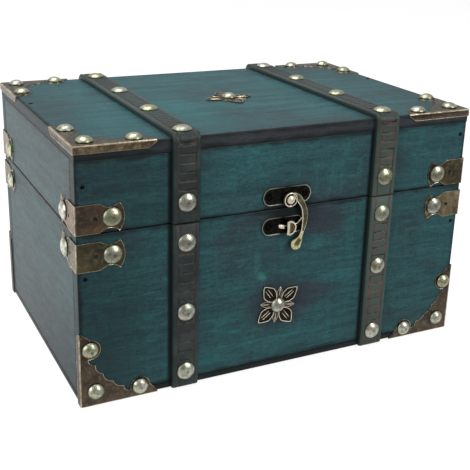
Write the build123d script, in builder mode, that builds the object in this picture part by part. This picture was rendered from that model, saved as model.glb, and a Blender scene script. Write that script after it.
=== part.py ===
from build123d import *
import os
from math import acos, asin, atan2, cos, radians, sin, tan

os.makedirs("parts", exist_ok=True)

# The box stands with its front towards -Y and its origin under the middle of its floor.
# Heights of things on the walls are measured up from the underside of the wood.

# Wooden body
box_width = 275.0
box_depth = 184.0
box_height = 163.0
lid_height = 52.5
seam_gap = 0.4
wall_thick = 9.0
lid_top_thick = 8.0
bottom_thick = 4.0
board_round = 0.8

# Panel nails in the butt joints
nail_radius = 0.7
nail_head_radius = 1.2
nail_head_thick = 0.5
nail_length = 20.0
nail_fit = 0.02
nail_spare_depth = 1.0
lid_nail_height_left = 29.5
lid_nail_height_right = 36.0
base_nail_drop = 27.0
top_nail_share = 0.62
bottom_nail_share = 0.18

# Domed studs
stud_radius = 5.5
small_stud_radius = 5.0
stud_dome_height = 3.3
stud_rim = 0.5
stud_shank_radius = 0.8
stud_shank_length = 7.0

# Straps
strap_width = 18.0
strap_thick = 3.5
strap_bevel = 1.1
strap_end_round = 2.0
strap_corner_gap = 9.0
strap_back_end_gap = 4.0
lid_strap_stud_rise = 13.5
base_strap_stud_drop = 12.0
base_strap_stud_left_share = 0.475
base_strap_stud_right_share = 0.548
base_strap_stud_low = 11.5
lid_top_stud_shares = (0.03, 0.33, 0.64, 0.93)

# Folded sheet-metal corner brackets
corner_sheet = 0.8
corner_fold_round = 0.75
corner_leg = 49.0
corner_shoulder = 44.5
corner_shoulder_out = 6.0
corner_neck = 31.5
corner_neck_out = 5.0
corner_cusp_far = 27.0
corner_cusp_far_out = 9.3
corner_cusp_near = 20.2
corner_cusp_near_out = 13.8
corner_scallop_sag = 2.4
corner_tab_radius = 6.4
corner_lip = 5.3
corner_lip_slope = 5.0
corner_lip_end = 0.8
corner_stud_along = 37.5
corner_stud_out = 6.2
corner_stud_near = 9.0

# Folded corner wraps
wrap_sheet = 0.8
wrap_height = 18.0
wrap_leg = 29.0
wrap_shoulder = 13.6
wrap_neck = 18.0
wrap_neck_height = 13.0
wrap_waist = 22.5
wrap_waist_height = 13.6
wrap_tail = 26.0
wrap_tail_height = 17.6
wrap_stud_along = 21.5
wrap_hole_along = 11.2
wrap_hole_radius = 0.9
lid_wrap_rise = 9.6
base_wrap_drop = 13.5

# Rosettes
rosette_sheet = 1.0
rosette_reach = 17.8
rosette_petal_start = 4.0
rosette_petal_width = 11.0
rosette_petal_shoulder = 12.5
rosette_leaf_reach = 13.2
rosette_leaf_width = 5.0
rosette_leaf_shoulder = 9.5
rosette_heart_radius = 5.6
rosette_petals = 4
rosette_round_share = 0.42
front_rosette_turn = -8.5
top_rosette_turn = 49.0
front_rosette_offset = -4.5
front_rosette_share = 0.398
top_rosette_offset = -1.8
top_rosette_share = 0.465

# Latch
latch_offset = -1.3
latch_plate_length = 34.2
latch_plate_height = 11.6
latch_plate_thick = 1.2
latch_screw_spacing = 25.5
latch_plate_rise = 8.7
latch_pivot_rise = 6.3
latch_screw_radius = 1.1
latch_screw_head_radius = 2.3
latch_screw_hole_depth = 7.5
screw_spare_depth = 1.0
screw_cross_width = 0.6
screw_cross_depth = 0.5
screw_sink_angle = 90

# Latch rivet, from its head inwards
rivet_shank_radius = 1.6
rivet_head_radius = 3.0
rivet_head_rim = 0.5
rivet_head_dome = 1.1
rivet_clinch_radius = 2.5
rivet_clinch_thick = 0.8
rivet_play = 0.08
rivet_pocket_play = 0.5

# Latch hook, flat on the front with its ring round the rivet
hook_gap = 0.7
hook_thick = 2.1
hook_ring_radius = 4.9
hook_recess_radius = 3.7
hook_recess_depth = 0.6
hook_floor_gap = 0.15
hook_tongue_reach = 18.3
hook_tongue_width = 2.8
hook_tongue_thick = 1.6
hook_tongue_angle = 244.0
hook_root_angle = 290.0
hook_arm_places = (
    (3.4, 0.2),
    (6.9, -2.2),
    (8.9, -5.2),
    (10.4, -8.6),
    (11.0, -12.8),
    (10.9, -16.8),
    (9.5, -23.0),
    (8.6, -25.6),
    (5.4, -30.4),
)
hook_arm_radii = (3.2, 1.95, 1.85, 1.95, 1.85, 1.5, 1.0, 1.5, 4.1)

# Keeper on the base
keeper_drop = 11.2
keeper_length = 29.9
keeper_loop_offset = 0.4
keeper_loop_width = 6.8
keeper_loop_height = 9.8
keeper_loop_lift = 0.8
keeper_loop_wall = 1.2
keeper_loop_round = 1.6

# Butt hinges on the back
hinge_strap_gap = 10.5
hinge_width = 26.0
hinge_leaf_height = 15.0
hinge_leaf_thick = 1.2
hinge_barrel_radius = 2.6
hinge_stand = 0.3
hinge_pin_radius = 1.2
hinge_pin_play = 0.06
hinge_pin_fit = 0.02
hinge_pin_head_radius = 1.9
hinge_pin_head_thick = 0.8
hinge_knuckle_gap = 0.2
hinge_leaf_gap = 0.4
hinge_middle_share = 0.36
hinge_screw_spacing = 16.0
hinge_screw_inset = 5.0
hinge_screw_radius = 1.1
hinge_screw_head_radius = 2.1
hinge_screw_hole_depth = 7.5

cut_overrun = 1.0

# Places worked out from the sizes above
floor_lift = corner_sheet
seam = box_height - lid_height
lid_foot = seam + seam_gap
lid_wall_top = box_height - lid_top_thick
nail_inset = wall_thick / 2
base_nail_height = seam - base_nail_drop
front_rosette_height = front_rosette_share * seam
strap_offset = box_width / 2 - corner_leg - strap_corner_gap - strap_width / 2
hinge_offset = strap_offset - strap_width / 2 - hinge_strap_gap - hinge_width / 2
lid_strap_back_foot = seam + strap_back_end_gap
base_strap_back_top = seam - strap_back_end_gap
hinge_axis_out = hinge_barrel_radius + hinge_stand

top_face = Plane.XY.offset(floor_lift + box_height)
front_face = Plane(origin=(0, -box_depth / 2, floor_lift), x_dir=(1, 0, 0), z_dir=(0, -1, 0))
back_face = Plane(origin=(0, box_depth / 2, floor_lift), x_dir=(-1, 0, 0), z_dir=(0, 1, 0))
left_face = Plane(origin=(-box_width / 2, 0, floor_lift), x_dir=(0, -1, 0), z_dir=(-1, 0, 0))
right_face = Plane(origin=(box_width / 2, 0, floor_lift), x_dir=(0, 1, 0), z_dir=(1, 0, 0))
bottom_face = Plane(origin=(0, 0, floor_lift), x_dir=(1, 0, 0), z_dir=(0, 0, -1))


def finish(piece, label):
    """Name a finished piece and write it."""
    piece.part.label = label
    export_step(piece.part, f"parts/{label}.step")


def drill(face, places, radius, depth):
    """Blind holes square into a face."""
    with Locations(face):
        with Locations(*places):
            Hole(radius, depth)


# Stud and nail places on each face

lid_strap_places = [(side * strap_offset, seam + lid_strap_stud_rise) for side in (-1, 1)]
base_strap_places = [
    (-strap_offset, seam - base_strap_stud_drop),
    (strap_offset, seam - base_strap_stud_drop),
    (-strap_offset, base_strap_stud_left_share * seam),
    (strap_offset, base_strap_stud_right_share * seam),
    (-strap_offset, base_strap_stud_low),
    (strap_offset, base_strap_stud_low),
]
top_strap_places = [
    (side * strap_offset, share * box_depth - box_depth / 2)
    for side in (-1, 1)
    for share in lid_top_stud_shares
]
front_rosette_place = (front_rosette_offset, front_rosette_height)
top_rosette_place = (top_rosette_offset, top_rosette_share * box_depth - box_depth / 2)
lid_wrap_height = seam + lid_wrap_rise
base_wrap_height = seam - base_wrap_drop
corner_stud_pattern = [
    (corner_stud_near, corner_stud_near),
    (corner_stud_along, corner_stud_out),
    (corner_stud_out, corner_stud_along),
]


def wrap_places(face_width, height):
    """Wrap studs on one face: one near each of its upright edges."""
    return [(side * (face_width / 2 - wrap_stud_along), height) for side in (-1, 1)]


def bracket_places(face_width, face_height, low_only):
    """Bracket studs on one face, with its origin in the middle of its lower edge or of the whole face."""
    places = []
    for across, up in corner_stud_pattern:
        for side in (-1, 1):
            if low_only:
                places.append((side * (face_width / 2 - across), up))
            else:
                places.append((side * (face_width / 2 - across), face_height / 2 - up))
                places.append((side * (face_width / 2 - across), up - face_height / 2))
    return places


low_bracket_places = bracket_places(box_width, 0, True)
top_bracket_places = bracket_places(box_width, box_depth, False)

latch_plate_centre = (latch_offset, seam + latch_plate_rise)
latch_pivot = (0, seam + latch_pivot_rise)
keeper_left_end = latch_offset - latch_plate_length / 2
keeper_centre = (keeper_left_end + keeper_length / 2, seam - keeper_drop)
latch_screw_places = [
    (latch_offset + side * latch_screw_spacing / 2, latch_plate_centre[1]) for side in (-1, 1)
]
plate_screw_inset = (latch_plate_length - latch_screw_spacing) / 2
keeper_screw_reach = keeper_length / 2 - plate_screw_inset
keeper_screw_places = [
    (keeper_centre[0] + side * keeper_screw_reach, keeper_centre[1]) for side in (-1, 1)
]
hinge_screw_centres = [
    hinge * hinge_offset + side * hinge_screw_spacing / 2 for hinge in (-1, 1) for side in (-1, 1)
]
hinge_screw_reach = hinge_leaf_height - hinge_screw_inset
lid_hinge_screw_places = [(x, seam + hinge_screw_reach) for x in hinge_screw_centres]
base_hinge_screw_places = [(x, seam - hinge_screw_reach) for x in hinge_screw_centres]

nail_out = box_width / 2 - nail_inset
lid_front_nail_places = [(-nail_out, seam + lid_nail_height_left), (nail_out, seam + lid_nail_height_right)]
lid_back_nail_places = [(nail_out, seam + lid_nail_height_left), (-nail_out, seam + lid_nail_height_left)]
base_wall_nail_places = [(side * nail_out, base_nail_height) for side in (-1, 1)]
top_nail_places = [(side * nail_out, top_nail_share * box_depth - box_depth / 2) for side in (-1, 1)]
bottom_nail_places = [
    (side * bottom_nail_share * box_width, end * (box_depth / 2 - nail_inset))
    for side in (-1, 1)
    for end in (-1, 1)
]

shank_hole_radius = stud_shank_radius + nail_fit
nail_hole_radius = nail_radius + nail_fit
nail_pocket_radius = nail_head_radius + nail_fit


def shank_holes(face, places, seat):
    """Blind holes for stud shanks whose heads sit at a height above the face."""
    drill(face, places, shank_hole_radius, stud_shank_length - seat + nail_spare_depth)


def nail_holes(face, places):
    """Pilot holes and head pockets for panel nails driven flush."""
    drill(face, places, nail_hole_radius, nail_length + nail_spare_depth)
    drill(face, places, nail_pocket_radius, nail_head_thick)


# Wooden boards


def wall_board(face, width, low, high):
    """Upright board behind a face, with its long edges eased."""
    with BuildPart() as blank:
        with BuildSketch(face):
            with Locations((0, (low + high) / 2)):
                Rectangle(width, high - low)
        extrude(amount=-wall_thick)
        fillet(blank.faces().sort_by(Axis((0, 0, 0), face.z_dir))[-1].edges(), board_round)
    return blank.part


def flat_board(plane, thick):
    """Board that covers the whole plan of the box, with all its edges eased on the outer side."""
    with BuildPart() as blank:
        with BuildSketch(plane):
            Rectangle(box_width, box_depth)
        extrude(amount=-thick)
        fillet(blank.faces().sort_by(Axis((0, 0, 0), plane.z_dir))[-1].edges(), board_round)
    return blank.part


side_board_width = box_depth - 2 * wall_thick

with BuildPart() as base_bottom_board:
    add(flat_board(bottom_face, bottom_thick))
    nail_holes(bottom_face, bottom_nail_places)
finish(base_bottom_board, "base_bottom_board")

with BuildPart() as base_front_board:
    add(wall_board(front_face, box_width, bottom_thick, seam))
    shank_holes(front_face, base_strap_places, strap_thick)
    shank_holes(front_face, wrap_places(box_width, base_wrap_height), wrap_sheet)
    shank_holes(front_face, low_bracket_places, corner_sheet)
    shank_holes(front_face, [front_rosette_place], rosette_sheet)
    drill(front_face, keeper_screw_places, latch_screw_radius + nail_fit, latch_screw_hole_depth)
    nail_holes(front_face, base_wall_nail_places)
    nail_holes(bottom_face, bottom_nail_places)
finish(base_front_board, "base_front_board")

with BuildPart() as base_back_board:
    add(wall_board(back_face, box_width, bottom_thick, seam))
    shank_holes(back_face, base_strap_places, strap_thick)
    shank_holes(back_face, wrap_places(box_width, base_wrap_height), wrap_sheet)
    shank_holes(back_face, low_bracket_places, corner_sheet)
    drill(back_face, base_hinge_screw_places, hinge_screw_radius + nail_fit, hinge_screw_hole_depth)
    nail_holes(back_face, base_wall_nail_places)
    nail_holes(bottom_face, bottom_nail_places)
finish(base_back_board, "base_back_board")

for side_name, face in (("left", left_face), ("right", right_face)):
    with BuildPart() as base_side_board:
        add(wall_board(face, side_board_width, bottom_thick, seam))
        shank_holes(face, wrap_places(box_depth, base_wrap_height), wrap_sheet)
        nail_holes(front_face, base_wall_nail_places)
        nail_holes(back_face, base_wall_nail_places)
    finish(base_side_board, f"base_{side_name}_board")

with BuildPart() as lid_top_board:
    add(flat_board(top_face, lid_top_thick))
    shank_holes(top_face, top_strap_places, strap_thick)
    shank_holes(top_face, top_bracket_places, corner_sheet)
    shank_holes(top_face, [top_rosette_place], rosette_sheet)
    nail_holes(top_face, top_nail_places)
finish(lid_top_board, "lid_top_board")

with BuildPart() as lid_front_board:
    add(wall_board(front_face, box_width, lid_foot, lid_wall_top))
    shank_holes(front_face, lid_strap_places, strap_thick)
    shank_holes(front_face, wrap_places(box_width, lid_wrap_height), wrap_sheet)
    drill(front_face, latch_screw_places, latch_screw_radius + nail_fit, latch_screw_hole_depth)
    drill(
        front_face,
        [latch_pivot],
        rivet_clinch_radius + rivet_pocket_play,
        rivet_clinch_thick + rivet_pocket_play,
    )
    nail_holes(front_face, lid_front_nail_places)
finish(lid_front_board, "lid_front_board")

with BuildPart() as lid_back_board:
    add(wall_board(back_face, box_width, lid_foot, lid_wall_top))
    shank_holes(back_face, lid_strap_places, strap_thick)
    shank_holes(back_face, wrap_places(box_width, lid_wrap_height), wrap_sheet)
    drill(back_face, lid_hinge_screw_places, hinge_screw_radius + nail_fit, hinge_screw_hole_depth)
    nail_holes(back_face, lid_back_nail_places)
finish(lid_back_board, "lid_back_board")

for side_name, face in (("left", left_face), ("right", right_face)):
    with BuildPart() as lid_side_board:
        add(wall_board(face, side_board_width, lid_foot, lid_wall_top))
        shank_holes(face, wrap_places(box_depth, lid_wrap_height), wrap_sheet)
        nail_holes(front_face, lid_front_nail_places)
        nail_holes(back_face, lid_back_nail_places)
        nail_holes(top_face, top_nail_places)
    finish(lid_side_board, f"lid_{side_name}_board")

# Straps


def strap_section(plane):
    """Cross section of a strap, its back on the plane's x axis and its face towards the plane's -y."""
    side = strap_thick - strap_bevel
    half = strap_width / 2
    with BuildSketch(plane) as section:
        with BuildLine():
            Polyline(
                (-half, 0),
                (-half, -side),
                (strap_bevel - half, -strap_thick),
                (half - strap_bevel, -strap_thick),
                (half, -side),
                (half, 0),
                close=True,
            )
        make_face()
    return section.sketch


def lid_strap(offset):
    """Strap from the seam in front, over the lid and down its back to just above the hinge line."""
    half = box_depth / 2
    side_plane = Plane(origin=(offset, 0, floor_lift), x_dir=(0, 1, 0), z_dir=(1, 0, 0))
    foot_plane = Plane(origin=(offset, -half, floor_lift + lid_foot), x_dir=(1, 0, 0), z_dir=(0, 0, 1))
    with BuildPart() as strap:
        with BuildLine(side_plane):
            FilletPolyline(
                (-half, lid_foot),
                (-half, box_height),
                (half, box_height),
                (half, lid_strap_back_foot),
                radius=board_round,
            )
        add(strap_section(foot_plane))
        sweep()
        drill(front_face, lid_strap_places, shank_hole_radius, strap_thick + cut_overrun)
        drill(back_face, lid_strap_places, shank_hole_radius, strap_thick + cut_overrun)
        drill(top_face, top_strap_places, shank_hole_radius, strap_thick + cut_overrun)
    return strap


def base_strap(offset, face, top):
    """Length of strap on one face of the base, rounded off at the floor."""
    foot_plane = Plane(
        origin=(offset, face.origin.Y, floor_lift), x_dir=(-face.z_dir.Y, 0, 0), z_dir=(0, 0, 1)
    )
    with BuildPart() as strap:
        add(strap_section(foot_plane))
        extrude(amount=top)
        foot_edges = strap.faces().sort_by(Axis.Z)[0].edges()
        fillet(foot_edges.sort_by(Axis((0, 0, 0), face.z_dir))[-1], strap_end_round)
        drill(face, base_strap_places, shank_hole_radius, strap_thick + cut_overrun)
    return strap


for side_name, side in (("left", -1), ("right", 1)):
    finish(lid_strap(side * strap_offset), f"lid_strap_{side_name}")
    finish(base_strap(side * strap_offset, front_face, seam), f"base_strap_front_{side_name}")
    finish(base_strap(side * strap_offset, back_face, base_strap_back_top), f"base_strap_back_{side_name}")

# Corner brackets, all eight alike


def scallop(start, end):
    """Hollow arc between two points of a bracket's inner edge, sagging towards the corner."""
    middle = (
        (start[0] + end[0] - corner_scallop_sag) / 2,
        (start[1] + end[1] - corner_scallop_sag) / 2,
    )
    ThreePointArc(start, middle, end)


def corner_bracket():
    """Bracket with its plate on the XY plane, its legs along +X and +Y and its lips folded down."""
    along = [
        (corner_leg, 0),
        (corner_shoulder, corner_shoulder_out),
        (corner_neck, corner_neck_out),
        (corner_cusp_far, corner_cusp_far_out),
        (corner_cusp_near, corner_cusp_near_out),
    ]
    across = [(v, u) for u, v in reversed(along)]
    with BuildPart() as bracket:
        with BuildSketch():
            with BuildLine():
                Polyline(along[:3])
                scallop(along[2], along[3])
                scallop(along[3], along[4])
                scallop(along[4], across[0])
                scallop(across[0], across[1])
                scallop(across[1], across[2])
                Polyline(across[2:])
                Polyline(
                    across[-1],
                    (-corner_sheet, corner_leg),
                    (-corner_sheet, -corner_sheet),
                    (corner_leg, -corner_sheet),
                    along[0],
                )
            make_face()
            with Locations(*corner_stud_pattern[1:]):
                Circle(corner_tab_radius)
            with Locations((-corner_sheet, -corner_sheet)):
                Rectangle(
                    corner_sheet + corner_leg,
                    corner_sheet + corner_leg,
                    align=Align.MIN,
                    mode=Mode.INTERSECT,
                )
        extrude(amount=corner_sheet)
        for plane, depth in ((Plane.XZ, corner_sheet), (Plane.YZ, -corner_sheet)):
            with BuildSketch(plane):
                with BuildLine():
                    Polyline(
                        (-corner_sheet, corner_sheet),
                        (-corner_sheet, -corner_lip),
                        (corner_leg - corner_lip_slope, -corner_lip),
                        (corner_leg, -corner_lip_end),
                        (corner_leg, corner_sheet),
                        close=True,
                    )
                make_face()
            extrude(amount=depth)
        fold_along = bracket.edges().filter_by(Axis.X).group_by(Axis.Z)[-1].sort_by(Axis.Y)[0]
        fold_across = bracket.edges().filter_by(Axis.Y).group_by(Axis.Z)[-1].sort_by(Axis.X)[0]
        fold_corner = bracket.edges().filter_by(Axis.Z).sort_by(Axis((0, 0, 0), (1, 1, 0)))[0]
        fillet([fold_along, fold_across, fold_corner], corner_fold_round)
        with Locations(*corner_stud_pattern):
            Hole(shank_hole_radius)
    return bracket


corner_master = corner_bracket()
corner_names = ("front_left", "front_right", "back_right", "back_left")
corner_sides = ((-1, -1), (1, -1), (1, 1), (-1, 1))
corner_headings = ((1, 0, 0), (0, 1, 0), (-1, 0, 0), (0, -1, 0))


def corner_plane(sides, heading, height):
    """Level plane at an upright edge of the box, its x and y running inwards along the walls."""
    return Plane(
        origin=(sides[0] * box_width / 2, sides[1] * box_depth / 2, floor_lift + height),
        x_dir=heading,
        z_dir=(0, 0, 1),
    )


for corner_name, sides, heading in zip(corner_names, corner_sides, corner_headings):
    with BuildPart() as lid_corner:
        with Locations(corner_plane(sides, heading, box_height)):
            add(corner_master.part)
    finish(lid_corner, f"lid_corner_{corner_name}")
    upright_first = sides[0] * sides[1] < 0
    with BuildPart() as base_corner:
        with Locations(
            Plane(
                origin=(sides[0] * box_width / 2, sides[1] * box_depth / 2, floor_lift),
                x_dir=(0, 0, 1) if upright_first else (-sides[0], 0, 0),
                z_dir=(0, sides[1], 0),
            )
        ):
            add(corner_master.part)
    finish(base_corner, f"base_corner_{corner_name}")

# Corner wraps, all eight alike


def wrap_leg_sketch(plane):
    """Leg of a wrap, from the fold to its fish-tail end, with its nail hole and stud hole."""
    upper = [
        (-wrap_sheet, wrap_height / 2),
        (wrap_shoulder, wrap_height / 2),
        (wrap_neck, wrap_neck_height / 2),
        (wrap_waist, wrap_waist_height / 2),
        (wrap_tail, wrap_tail_height / 2),
    ]
    lower = [(u, -v) for u, v in reversed(upper)]
    with BuildSketch(plane) as leg:
        with BuildLine():
            Polyline(upper[:3])
            ThreePointArc(*upper[2:])
            ThreePointArc(upper[-1], (wrap_leg, 0), lower[0])
            ThreePointArc(*lower[:3])
            Polyline(lower[2:] + upper[:1])
        make_face()
        with Locations((wrap_hole_along, 0)):
            Circle(wrap_hole_radius, mode=Mode.SUBTRACT)
        with Locations((wrap_stud_along, 0)):
            Circle(shank_hole_radius, mode=Mode.SUBTRACT)
    return leg.sketch


def corner_wrap():
    """Wrap round an upright edge at the origin, with legs along +X and +Y and its middle at the origin."""
    with BuildPart() as wrap:
        extrude(wrap_leg_sketch(Plane.XZ), amount=wrap_sheet)
        extrude(wrap_leg_sketch(Plane.YZ), amount=-wrap_sheet)
        fold = wrap.edges().filter_by(Axis.Z).sort_by(Axis((0, 0, 0), (1, 1, 0)))[0]
        fillet(fold, corner_fold_round)
    return wrap


wrap_master = corner_wrap()
for corner_name, sides, heading in zip(corner_names, corner_sides, corner_headings):
    for part_name, height in (("lid", lid_wrap_height), ("base", base_wrap_height)):
        with BuildPart() as wrap_copy:
            with Locations(corner_plane(sides, heading, height)):
                add(wrap_master.part)
        finish(wrap_copy, f"{part_name}_wrap_{corner_name}")

# Rosettes


def rosette_petal(reach, width, shoulder):
    """One pointed petal along +X."""
    with BuildSketch() as petal:
        with BuildLine():
            root = (rosette_petal_start, 0)
            low = (shoulder, -width / 2)
            high = (shoulder, width / 2)
            middle = (rosette_petal_start + shoulder) / 2
            ThreePointArc(root, (middle, -width * rosette_round_share), low)
            Line(low, (reach, 0))
            Line((reach, 0), high)
            ThreePointArc(high, (middle, width * rosette_round_share), root)
        make_face()
    return petal.sketch


def rosette(face, place, turn):
    """Broad petals and small leaves in turn round a heart, with a stud hole in the middle."""
    with BuildPart() as ornament:
        with BuildSketch(face):
            with Locations(place):
                Circle(rosette_heart_radius)
                with PolarLocations(0, rosette_petals, start_angle=turn + 180 / rosette_petals):
                    add(rosette_petal(rosette_reach, rosette_petal_width, rosette_petal_shoulder))
                with PolarLocations(0, rosette_petals, start_angle=turn):
                    add(rosette_petal(rosette_leaf_reach, rosette_leaf_width, rosette_leaf_shoulder))
                Circle(shank_hole_radius, mode=Mode.SUBTRACT)
        extrude(amount=rosette_sheet)
    return ornament


finish(rosette(front_face, front_rosette_place, front_rosette_turn), "base_rosette")
finish(rosette(top_face, top_rosette_place, top_rosette_turn), "lid_rosette")

# Studs


def dome(radius, height, top):
    """Arc of a shallow dome's profile, from its rim to its crown on the axis."""
    cap_radius = (radius**2 + height**2) / (2 * height)
    half_angle = asin(radius / cap_radius) / 2
    middle = (cap_radius * sin(half_angle), top - cap_radius * (1 - cos(half_angle)))
    ThreePointArc((radius, top - height), middle, (0, top))


def stud(radius):
    """Domed stud along Z, its head on the XY plane and its shank below."""
    top = stud_rim + stud_dome_height
    with BuildPart() as blank:
        with BuildSketch(Plane.XZ):
            with BuildLine():
                dome(radius, stud_dome_height, top)
                Polyline(
                    (0, top),
                    (0, -stud_shank_length),
                    (stud_shank_radius, stud_shank_radius - stud_shank_length),
                    (stud_shank_radius, 0),
                    (radius, 0),
                    (radius, stud_rim),
                )
            make_face()
        revolve(axis=Axis.Z)
    return blank.part


def studs(head, label, sets):
    """Group of studs alike, each set on its own face at its own seat height."""
    with BuildPart() as group:
        for face, seat, places in sets:
            with Locations(face.offset(seat)):
                with Locations(*places):
                    add(head)
    finish(group, label)


large_stud = stud(stud_radius)
small_stud = stud(small_stud_radius)
studs(
    large_stud,
    "lid_strap_studs",
    [
        (front_face, strap_thick, lid_strap_places),
        (back_face, strap_thick, lid_strap_places),
        (top_face, strap_thick, top_strap_places),
    ],
)
studs(
    large_stud,
    "base_strap_studs",
    [(front_face, strap_thick, base_strap_places), (back_face, strap_thick, base_strap_places)],
)
for part_name, height in (("lid", lid_wrap_height), ("base", base_wrap_height)):
    studs(
        large_stud,
        f"{part_name}_wrap_studs",
        [
            (front_face, wrap_sheet, wrap_places(box_width, height)),
            (back_face, wrap_sheet, wrap_places(box_width, height)),
            (left_face, wrap_sheet, wrap_places(box_depth, height)),
            (right_face, wrap_sheet, wrap_places(box_depth, height)),
        ],
    )
studs(small_stud, "lid_corner_studs", [(top_face, corner_sheet, top_bracket_places)])
studs(
    small_stud,
    "base_corner_studs",
    [(front_face, corner_sheet, low_bracket_places), (back_face, corner_sheet, low_bracket_places)],
)
studs(small_stud, "base_rosette_stud", [(front_face, rosette_sheet, [front_rosette_place])])
studs(small_stud, "lid_rosette_stud", [(top_face, rosette_sheet, [top_rosette_place])])

# Panel nails, driven flush


def panel_nail():
    """Panel nail along Z, with the top of its head on the XY plane."""
    with BuildPart() as nail:
        Cylinder(nail_head_radius, nail_head_thick, align=(Align.CENTER, Align.CENTER, Align.MAX))
        Cylinder(nail_radius, nail_length, align=(Align.CENTER, Align.CENTER, Align.MAX))
    return nail.part


nail = panel_nail()
with BuildPart() as lid_panel_nails:
    for face, places in (
        (front_face, lid_front_nail_places),
        (back_face, lid_back_nail_places),
        (top_face, top_nail_places),
    ):
        with Locations(face):
            with Locations(*places):
                add(nail)
finish(lid_panel_nails, "lid_panel_nails")
with BuildPart() as base_panel_nails:
    for face, places in (
        (front_face, base_wall_nail_places),
        (back_face, base_wall_nail_places),
        (bottom_face, bottom_nail_places),
    ):
        with Locations(face):
            with Locations(*places):
                add(nail)
finish(base_panel_nails, "base_panel_nails")

# Screws


def cross_screw(head_radius, radius, hole_depth, seat):
    """Countersunk screw along Z with the top of its head at a seat above the XY plane."""
    length = hole_depth - screw_spare_depth
    sink = (head_radius - radius) / tan(radians(screw_sink_angle / 2))
    with BuildPart() as screw:
        with BuildSketch(Plane.XZ):
            with BuildLine():
                Polyline(
                    (0, seat),
                    (head_radius, seat),
                    (radius, seat - sink),
                    (radius, radius - length),
                    (0, -length),
                    close=True,
                )
            make_face()
        revolve(axis=Axis.Z)
        with BuildSketch(Plane.XY.offset(seat)):
            Rectangle(head_radius, screw_cross_width)
            Rectangle(screw_cross_width, head_radius)
        extrude(amount=-screw_cross_depth, mode=Mode.SUBTRACT)
    return screw.part


def screws(label, master, face, places):
    """Group of screws alike on one face."""
    with BuildPart() as group:
        with Locations(face):
            with Locations(*places):
                add(master)
    finish(group, label)


latch_screw = cross_screw(
    latch_screw_head_radius, latch_screw_radius, latch_screw_hole_depth, latch_plate_thick
)
hinge_screw = cross_screw(
    hinge_screw_head_radius, hinge_screw_radius, hinge_screw_hole_depth, hinge_leaf_thick
)
screws("latch_plate_screws", latch_screw, front_face, latch_screw_places)
screws("latch_keeper_screws", latch_screw, front_face, keeper_screw_places)
screws("hinge_lid_screws", hinge_screw, back_face, lid_hinge_screw_places)
screws("hinge_base_screws", hinge_screw, back_face, base_hinge_screw_places)


def screw_seats(face, thick, places, head_radius, radius):
    """Countersunk holes through a plate for screws whose heads finish flush."""
    with Locations(face.offset(thick)):
        with Locations(*places):
            CounterSinkHole(
                radius + nail_fit,
                head_radius + nail_fit,
                depth=thick + cut_overrun,
                counter_sink_angle=screw_sink_angle,
            )


# Latch plate and keeper


def latch_plate_blank(centre, length):
    """Round-ended plate on the front face."""
    with BuildPart() as blank:
        with BuildSketch(front_face):
            with Locations(centre):
                SlotOverall(length, latch_plate_height)
        extrude(amount=latch_plate_thick)
    return blank.part


with BuildPart() as latch_plate:
    add(latch_plate_blank(latch_plate_centre, latch_plate_length))
    screw_seats(
        front_face, latch_plate_thick, latch_screw_places, latch_screw_head_radius, latch_screw_radius
    )
    drill(front_face, [latch_pivot], rivet_shank_radius + nail_fit, latch_plate_thick + cut_overrun)
finish(latch_plate, "latch_plate")

tongue_height = latch_pivot[1] - hook_tongue_reach
loop_depth = hook_gap + hook_tongue_thick + keeper_loop_lift
with BuildPart() as latch_keeper:
    add(latch_plate_blank(keeper_centre, keeper_length))
    with BuildSketch(front_face.offset(latch_plate_thick)):
        with Locations((keeper_loop_offset, tongue_height)):
            Rectangle(keeper_loop_width, keeper_loop_height)
    extrude(amount=loop_depth + keeper_loop_wall)
    loop_rims = latch_keeper.faces().sort_by(Axis.Y)[0].edges().filter_by(Axis.X)
    fillet(loop_rims, keeper_loop_round)
    with BuildSketch(front_face.offset(latch_plate_thick)):
        with Locations((keeper_loop_offset, tongue_height)):
            Rectangle(keeper_loop_width + cut_overrun, keeper_loop_height - 2 * keeper_loop_wall)
    extrude(amount=loop_depth, mode=Mode.SUBTRACT)
    screw_seats(
        front_face, latch_plate_thick, keeper_screw_places, latch_screw_head_radius, latch_screw_radius
    )
finish(latch_keeper, "latch_keeper")

# Latch hook and its rivet

hook_back = latch_plate_thick + hook_gap
hook_front = hook_back + hook_thick
hook_plane = Plane(
    origin=(latch_pivot[0], front_face.origin.Y, floor_lift + latch_pivot[1]),
    x_dir=(1, 0, 0),
    z_dir=(0, -1, 0),
)
ring_bore = rivet_shank_radius + rivet_play


def tapered_bar(start, start_radius, end, end_radius):
    """Flat bar that tapers between two discs, drawn into the sketch that is open."""
    run = Vector(*end) - Vector(*start)
    heading = atan2(run.Y, run.X)
    lean = acos((start_radius - end_radius) / run.length)
    corners = []
    for (x, y), radius, turns in ((start, start_radius, (lean, -lean)), (end, end_radius, (-lean, lean))):
        for turn in turns:
            corners.append((x + radius * cos(heading + turn), y + radius * sin(heading + turn)))
    Polygon(*corners, align=None)
    with Locations(start):
        Circle(start_radius)
    with Locations(end):
        Circle(end_radius)


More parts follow.
